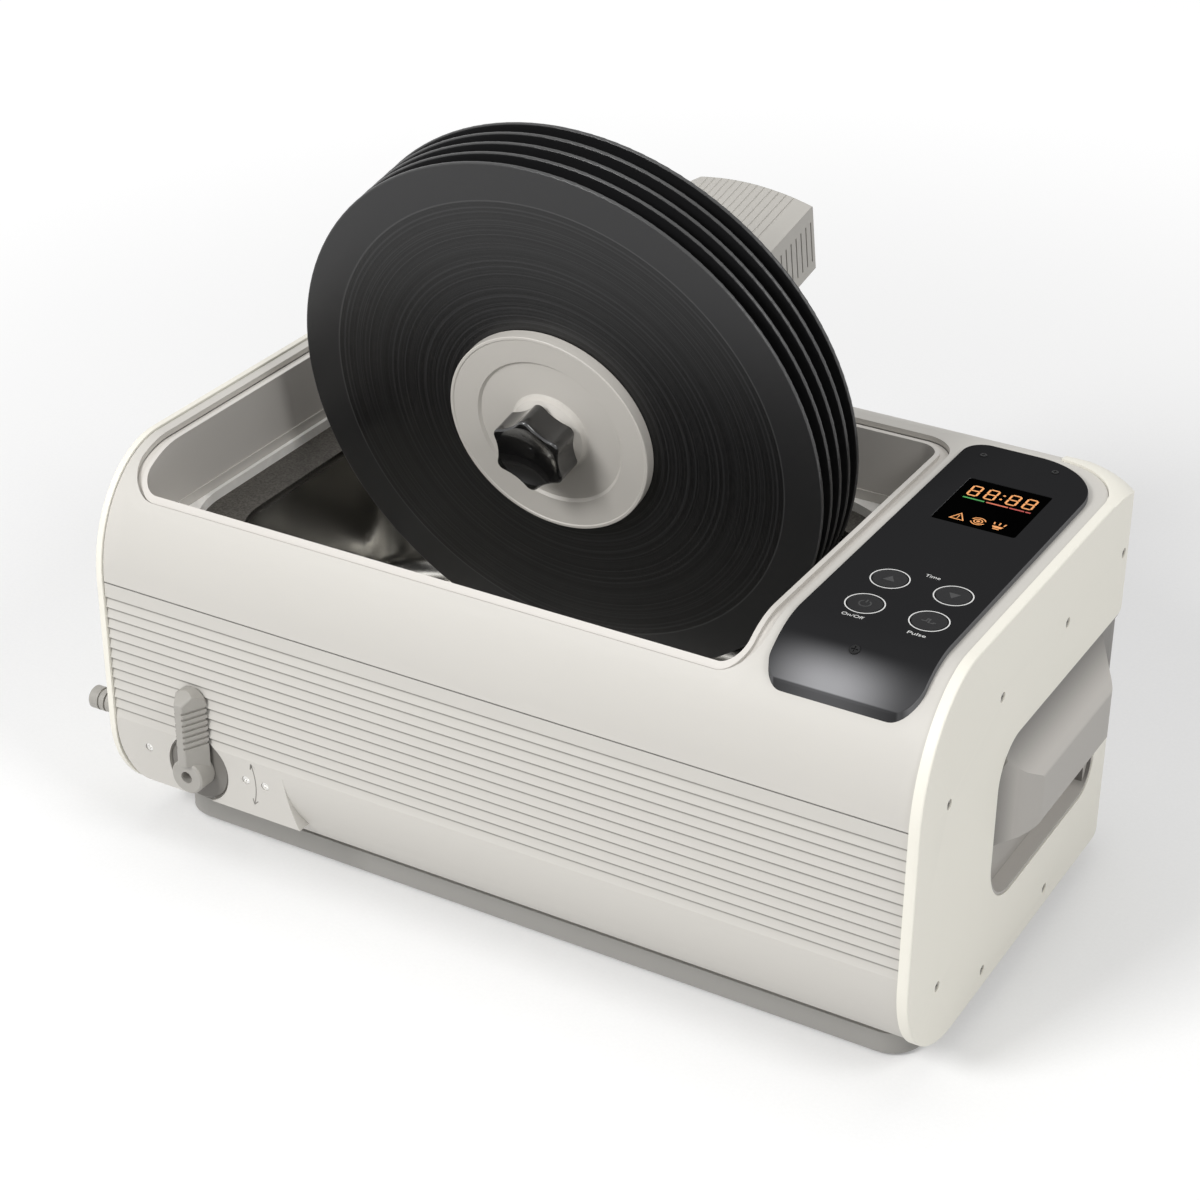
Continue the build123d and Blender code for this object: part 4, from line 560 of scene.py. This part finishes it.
def flat_mesh(name, curve, place, finish, body):
    """Turn a filled curve into a closed mesh in the object's frame."""
    source = bpy.data.objects.new(name + "_outline", curve)
    mesh = bpy.data.meshes.new_from_object(source)
    bpy.data.objects.remove(source)
    work = bmesh.new()
    work.from_mesh(mesh)
    bmesh.ops.remove_doubles(work, verts=work.verts, dist=1e-7)
    bmesh.ops.transform(work, matrix=place, verts=work.verts)
    bmesh.ops.recalc_face_normals(work, faces=work.faces)
    work.to_mesh(mesh)
    work.free()
    mesh.materials.clear()
    mesh.materials.append(finish)
    piece = bpy.data.objects.new(name, mesh)
    bpy.context.scene.collection.objects.link(piece)
    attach(piece, body)


def circle(x, y, radius, count=64):
    """Round outline."""
    steps = [2 * math.pi * step / count for step in range(count)]
    return [(x + radius * math.cos(turn), y + radius * math.sin(turn)) for turn in steps]


def triangle(x, half_width, base, tip):
    """Triangle on a level base, its tip over or under the middle x."""
    return [(x - half_width, base), (x + half_width, base), (x, tip)]


def arc_band(x, y, radius, width, start, end):
    """Band along an arc, angles in degrees."""
    turns = [math.radians(start + (end - start) * step / ARC_STEPS)
             for step in range(ARC_STEPS + 1)]
    outer = [(x + (radius + width / 2) * math.cos(t), y + (radius + width / 2) * math.sin(t))
             for t in turns]
    inner = [(x + (radius - width / 2) * math.cos(t), y + (radius - width / 2) * math.sin(t))
             for t in reversed(turns)]
    return outer + inner


def stroke(points, width):
    """Line of even width through the points, with sharp corners, as an outline."""
    line = [Vector(point) for point in points]
    sides = []
    for start, end in zip(line, line[1:]):
        way = (end - start).normalized() * width / 2
        sides.append(Vector((-way.y, way.x)))
    mitres = [(before + after) / (1 + before.dot(after) / (width / 2) ** 2)
              for before, after in zip(sides, sides[1:])]
    offsets = [sides[0], *mitres, sides[-1]]
    left = [tuple(point + offset) for point, offset in zip(line, offsets)]
    right = [tuple(point - offset) for point, offset in zip(line, offsets)]
    return [left[0], *right, *left[:0:-1]]


def segment(start, end):
    """One bar of a digit, pointed at both ends."""
    way = (Vector(end) - Vector(start)).normalized()
    side = Vector((-way.y, way.x)) * SEGMENT_WIDTH / 2
    tip = way * SEGMENT_WIDTH / 2
    a = Vector(start) + way * SEGMENT_GAP
    b = Vector(end) - way * SEGMENT_GAP
    corners = (a, a + tip + side, b - tip + side, b, b - tip - side, a + tip - side)
    return [tuple(corner) for corner in corners]


def digit(x, y):
    """All seven bars of a digit, centred on x, y."""
    left, right = x - DIGIT_WIDTH / 2, x + DIGIT_WIDTH / 2
    low, high = y - DIGIT_HEIGHT / 2, y + DIGIT_HEIGHT / 2
    bars = (((left, high), (right, high)), ((left, y), (right, y)), ((left, low), (right, low)),
            ((left, low), (left, y)), ((left, y), (left, high)),
            ((right, low), (right, y)), ((right, y), (right, high)))
    return [segment(start, end) for start, end in bars]


def lettering(name, words, left, right, baseline, height, base, finish, body):
    """A line of type drawn to a given width and letter height."""
    letters = bpy.data.curves.new(name, "FONT")
    letters.body = words
    letters.extrude = TYPE_DEPTH / 2
    source = bpy.data.objects.new(name + "_type", letters)
    mesh = bpy.data.meshes.new_from_object(source)
    low = Vector(min(v.co[axis] for v in mesh.vertices) for axis in range(3))
    high = Vector(max(v.co[axis] for v in mesh.vertices) for axis in range(3))
    bpy.data.meshes.remove(mesh)
    scale_x = (right - left) / (high.x - low.x)
    scale_y = height / CAPITAL_HEIGHT
    fit = (Matrix.Translation((left * MM, baseline * MM, PRINT_HEIGHT * MM / 2))
           @ Matrix.Diagonal((scale_x * MM, scale_y * MM, PRINT_HEIGHT * MM / TYPE_DEPTH, 1.0))
           @ Matrix.Translation((-low.x, 0, 0)))
    bpy.data.objects.remove(source)
    flat_mesh(name, letters, base @ fit, finish, body)


def key_middle(name):
    """Middle of a key seen from above."""
    low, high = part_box(name)
    middle = (low + high) / 2 / MM
    return middle.x, middle.y


def arrow_mark(x, y, way):
    """Arrow head that points to the rear where way is 1, to the front where it is -1."""
    return [triangle(x, ARROW_HALF_WIDTH, y - way * ARROW_TAIL, y + way * ARROW_TIP)]


def power_mark(x, y):
    """Open ring with a bar through its gap."""
    low, high = POWER_BAR
    ring = arc_band(x, y, POWER_RADIUS, MARK_LINE, 90 + POWER_GAP / 2, 450 - POWER_GAP / 2)
    return [ring, stroke([(x, y + low), (x, y + high)], MARK_LINE)]


def pulse_mark(x, y):
    """Square pulse on a level line."""
    return [stroke([(x + along, y + up) for along, up in PULSE_PATH], MARK_LINE)]


def print_keys():
    """A ring on the panel round each key, and a mark on each key."""
    for name in KEY_NAMES:
        x, y = key_middle(name)
        plate(name + "_ring", [circle(x, y, KEY_RING_OUTER), circle(x, y, KEY_RING_INNER)],
              PANEL_TOP, PALE_INK, "body")
    marks = {"key_time_up": arrow_mark(*key_middle("key_time_up"), 1),
             "key_time_down": arrow_mark(*key_middle("key_time_down"), -1),
             "key_power": power_mark(*key_middle("key_power")),
             "key_pulse": pulse_mark(*key_middle("key_pulse"))}
    for name, outlines in marks.items():
        plate(name + "_mark", outlines, KEY_TOP, DARK_INK, name)


def print_labels():
    """The words beside the keys."""
    for name, words, left, right, baseline, height in (
            ("label_time", "Time", 180.2, 187.8, -34.6, 2.7),
            ("label_on_off", "On/Off", 161.7, 172.7, -86.7, 2.5),
            ("label_pulse", "Pulse", 195.0, 204.0, -87.6, 2.6)):
        lettering(name, words, left, right, baseline, height, PANEL_TOP, PALE_INK, "body")


def warning_outlines(x, base):
    """Triangle with a bar and a dot in it."""
    outer = triangle(x, 4.0, base, base + 7.7)
    inner = triangle(x, 3.0, base + 0.6, base + 6.5)
    bar = stroke([(x, base + 4.7), (x, base + 2.7)], 0.6)
    dot = circle(x, base + 1.8, 0.36, 12)
    return [outer, inner, bar, dot]


def turning_outlines(x, y):
    """Record with its label, between two arcs."""
    arcs = [arc_band(x, y, 3.6, 0.6, start, start + 140) for start in (20, 200)]
    return [*arcs, circle(x, y, 2.4, 32), circle(x, y, 1.8, 32), circle(x, y, 0.9, 20)]


def heater_outlines(x, y):
    """Bowl on a foot, with three lines of warmth above it."""
    bowl = [(x - 2.9, y), (x + 2.9, y), (x + 2.1, y - 1.9), (x - 2.1, y - 1.9)]
    foot = stroke([(x - 1.7, y - 3.0), (x + 1.7, y - 3.0)], 0.8)
    left = stroke([(x - 2.5, y + 1.4), (x - 3.0, y + 3.6)], 0.7)
    middle = stroke([(x, y + 1.4), (x, y + 4.0)], 0.7)
    right = stroke([(x + 2.5, y + 1.4), (x + 3.0, y + 3.6)], 0.7)
    return [bowl, foot, left, middle, right]


def light_display():
    """Everything that is lit on the display's window."""
    for number, x in enumerate(DIGIT_MIDDLES, start=1):
        plate(f"display_digit_{number}", digit(x, DIGIT_ROW_Y), LENS_TOP, AMBER, "body")
    colon = [circle(x, y, COLON_RADIUS, 16) for x, y in COLON_DOTS]
    plate("display_colon", colon, LENS_TOP, AMBER, "body")
    for name, left, right, finish in (
            ("low", 162.6, 174.0, GREEN), ("middle", 175.1, 186.5, ORANGE),
            ("high", 187.2, 195.0, RED), ("top", 195.7, 198.4, RED)):
        bar = stroke([(left, BAR_ROW_Y), (right, BAR_ROW_Y)], BAR_HEIGHT)
        plate(f"display_bar_{name}", [bar], LENS_TOP, finish, "body")
    for name, outlines in (("warning", warning_outlines(WARNING_X, WARNING_BASE_Y)),
                           ("turning", turning_outlines(*TURNING_MIDDLE)),
                           ("heater", heater_outlines(*HEATER_MIDDLE))):
        plate(f"display_{name}_light", outlines, LENS_TOP, AMBER, "body")


def shade_valve_arrow():
    """Two-headed arrow engraved in the valve's pad, the way that the lever turns: a thin dark
    sheet paints the shade in its groove.
    """
    pad_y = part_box("lower_shell")[0].y
    front = Matrix.Translation((0, pad_y, 0)) @ Matrix.Rotation(math.pi / 2, 4, "X")
    outlines = [arc_band(LEVER_X, LEVER_Z, ARROW_RADIUS, ARROW_LINE, ARROW_START, ARROW_END)]
    for turn, side in ((ARROW_END, 1), (ARROW_START, -1)):
        angle = math.radians(turn)
        out = Vector((math.cos(angle), math.sin(angle)))
        on = Vector((-out.y, out.x)) * side
        tip = Vector((LEVER_X, LEVER_Z)) + out * ARROW_RADIUS + on * ARROW_OVERSHOOT
        for lean in (1, -1):
            barb_end = tip - on * BARB_BACK + out * lean * BARB_OUT
            outlines.append(stroke([tip, barb_end], ARROW_LINE))
    plate("valve_turn_arrow", outlines, front, ENGRAVING_SHADE, "body",
          height=ENGRAVING_SHADE_HEIGHT)


print_keys()
print_labels()
light_display()
shade_valve_arrow()


# --------------------------------------------------------- studio and camera
FLOOR_REACH = 6.0
# The floor's glow: its colours near the machine and at the middle distance, white far off.
GLOW_NEAR = 0.45
GLOW_MIDDLE = 1.5
GLOW_FAR = 3.5
NEAR_GLOW = tint(118, 118, 118)
MIDDLE_GLOW = tint(184, 184, 184)
SEEN_STRENGTH = 1.0
UNSEEN_STRENGTH = 0.4
BODY_MIDDLE = Vector((0.0, 0.0, 0.15))


def studio_floor():
    """Pale floor that keeps the shadow and glows more with distance, to white."""
    finish = Finish("floor_paper")
    grain = finish.noise(scale=500.0, detail=2.0)
    paper = finish.mix(grain, tint(226, 226, 226), tint(232, 232, 232))
    cover = finish.node("ShaderNodeBsdfDiffuse", None, {"Color": paper})
    away = finish.vectors("LENGTH", finish.place(), output="Value")
    shine = finish.mix(finish.fade(away, GLOW_NEAR, GLOW_MIDDLE), NEAR_GLOW, MIDDLE_GLOW)
    shine = finish.mix(finish.fade(away, GLOW_MIDDLE, GLOW_FAR), shine, WHITE)
    glow = finish.node("ShaderNodeEmission", None, {"Color": shine, "Strength": 1.0})
    both = finish.node("ShaderNodeAddShader", None, {0: cover, 1: glow})
    inputs = {0: finish.seen_white(), 1: cover, 2: both}
    finish.close(finish.node("ShaderNodeMixShader", None, inputs))
    mesh = bpy.data.meshes.new("floor")
    corners = [(-1, -1), (1, -1), (1, 1), (-1, 1)]
    mesh.from_pydata([(x * FLOOR_REACH, y * FLOOR_REACH, 0) for x, y in corners], [],
                     [(0, 1, 2, 3)])
    mesh.materials.append(finish.material)
    floor = bpy.data.objects.new("floor", mesh)
    bpy.context.scene.collection.objects.link(floor)


def studio_world():
    """Soft even light; the camera, mirrors and glass see white."""
    world = bpy.data.worlds.new("studio")
    bpy.context.scene.world = world
    web = Web(world, "ShaderNodeOutputWorld")
    unseen, seen = [web.node("ShaderNodeBackground", None, {"Color": WHITE, "Strength": strength})
                    for strength in (UNSEEN_STRENGTH, SEEN_STRENGTH)]
    inputs = {0: web.seen_white(), 1: unseen, 2: seen}
    web.close(web.node("ShaderNodeMixShader", None, inputs))


def softbox(name, place, width, height, power):
    """Rectangular lamp at place, turned to the middle of the body."""
    lamp = bpy.data.lights.new(name, "AREA")
    lamp.shape = "RECTANGLE"
    lamp.size = width
    lamp.size_y = height
    lamp.energy = power
    holder = bpy.data.objects.new(name, lamp)
    holder.location = place
    aim = BODY_MIDDLE - Vector(place)
    holder.rotation_euler = aim.to_track_quat("-Z", "Y").to_euler()
    bpy.context.scene.collection.objects.link(holder)


studio_floor()
studio_world()
softbox("overhead", (-0.2, 0.2, 2.4), width=1.6, height=1.2, power=8.0)
softbox("front_left", (-0.8, -2.1, 1.9), width=0.9, height=0.8, power=47.0)
softbox("right_side", (2.0, -0.6, 2.0), width=1.0, height=0.8, power=20.0)

# The camera: metres, degrees, and millimetres for its lens and its sensor.
CAMERA_PLACE = Vector((0.60896, -1.08878, 0.84370))
CAMERA_TURN = 29.802
CAMERA_FALL = 29.276
CAMERA_ROLL = 0.428
CAMERA_LENS = 82.446
CAMERA_SENSOR = 36.0
lens = bpy.data.cameras.new("camera")
lens.lens = CAMERA_LENS
lens.sensor_width = CAMERA_SENSOR
camera = bpy.data.objects.new("camera", lens)
camera.matrix_world = (Matrix.Translation(CAMERA_PLACE)
                       @ Matrix.Rotation(math.radians(CAMERA_TURN), 4, "Z")
                       @ Matrix.Rotation(math.radians(90 - CAMERA_FALL), 4, "X")
                       @ Matrix.Rotation(math.radians(CAMERA_ROLL), 4, "Z"))
bpy.context.scene.collection.objects.link(camera)
bpy.context.scene.camera = camera
bpy.context.scene.view_settings.view_transform = "Standard"
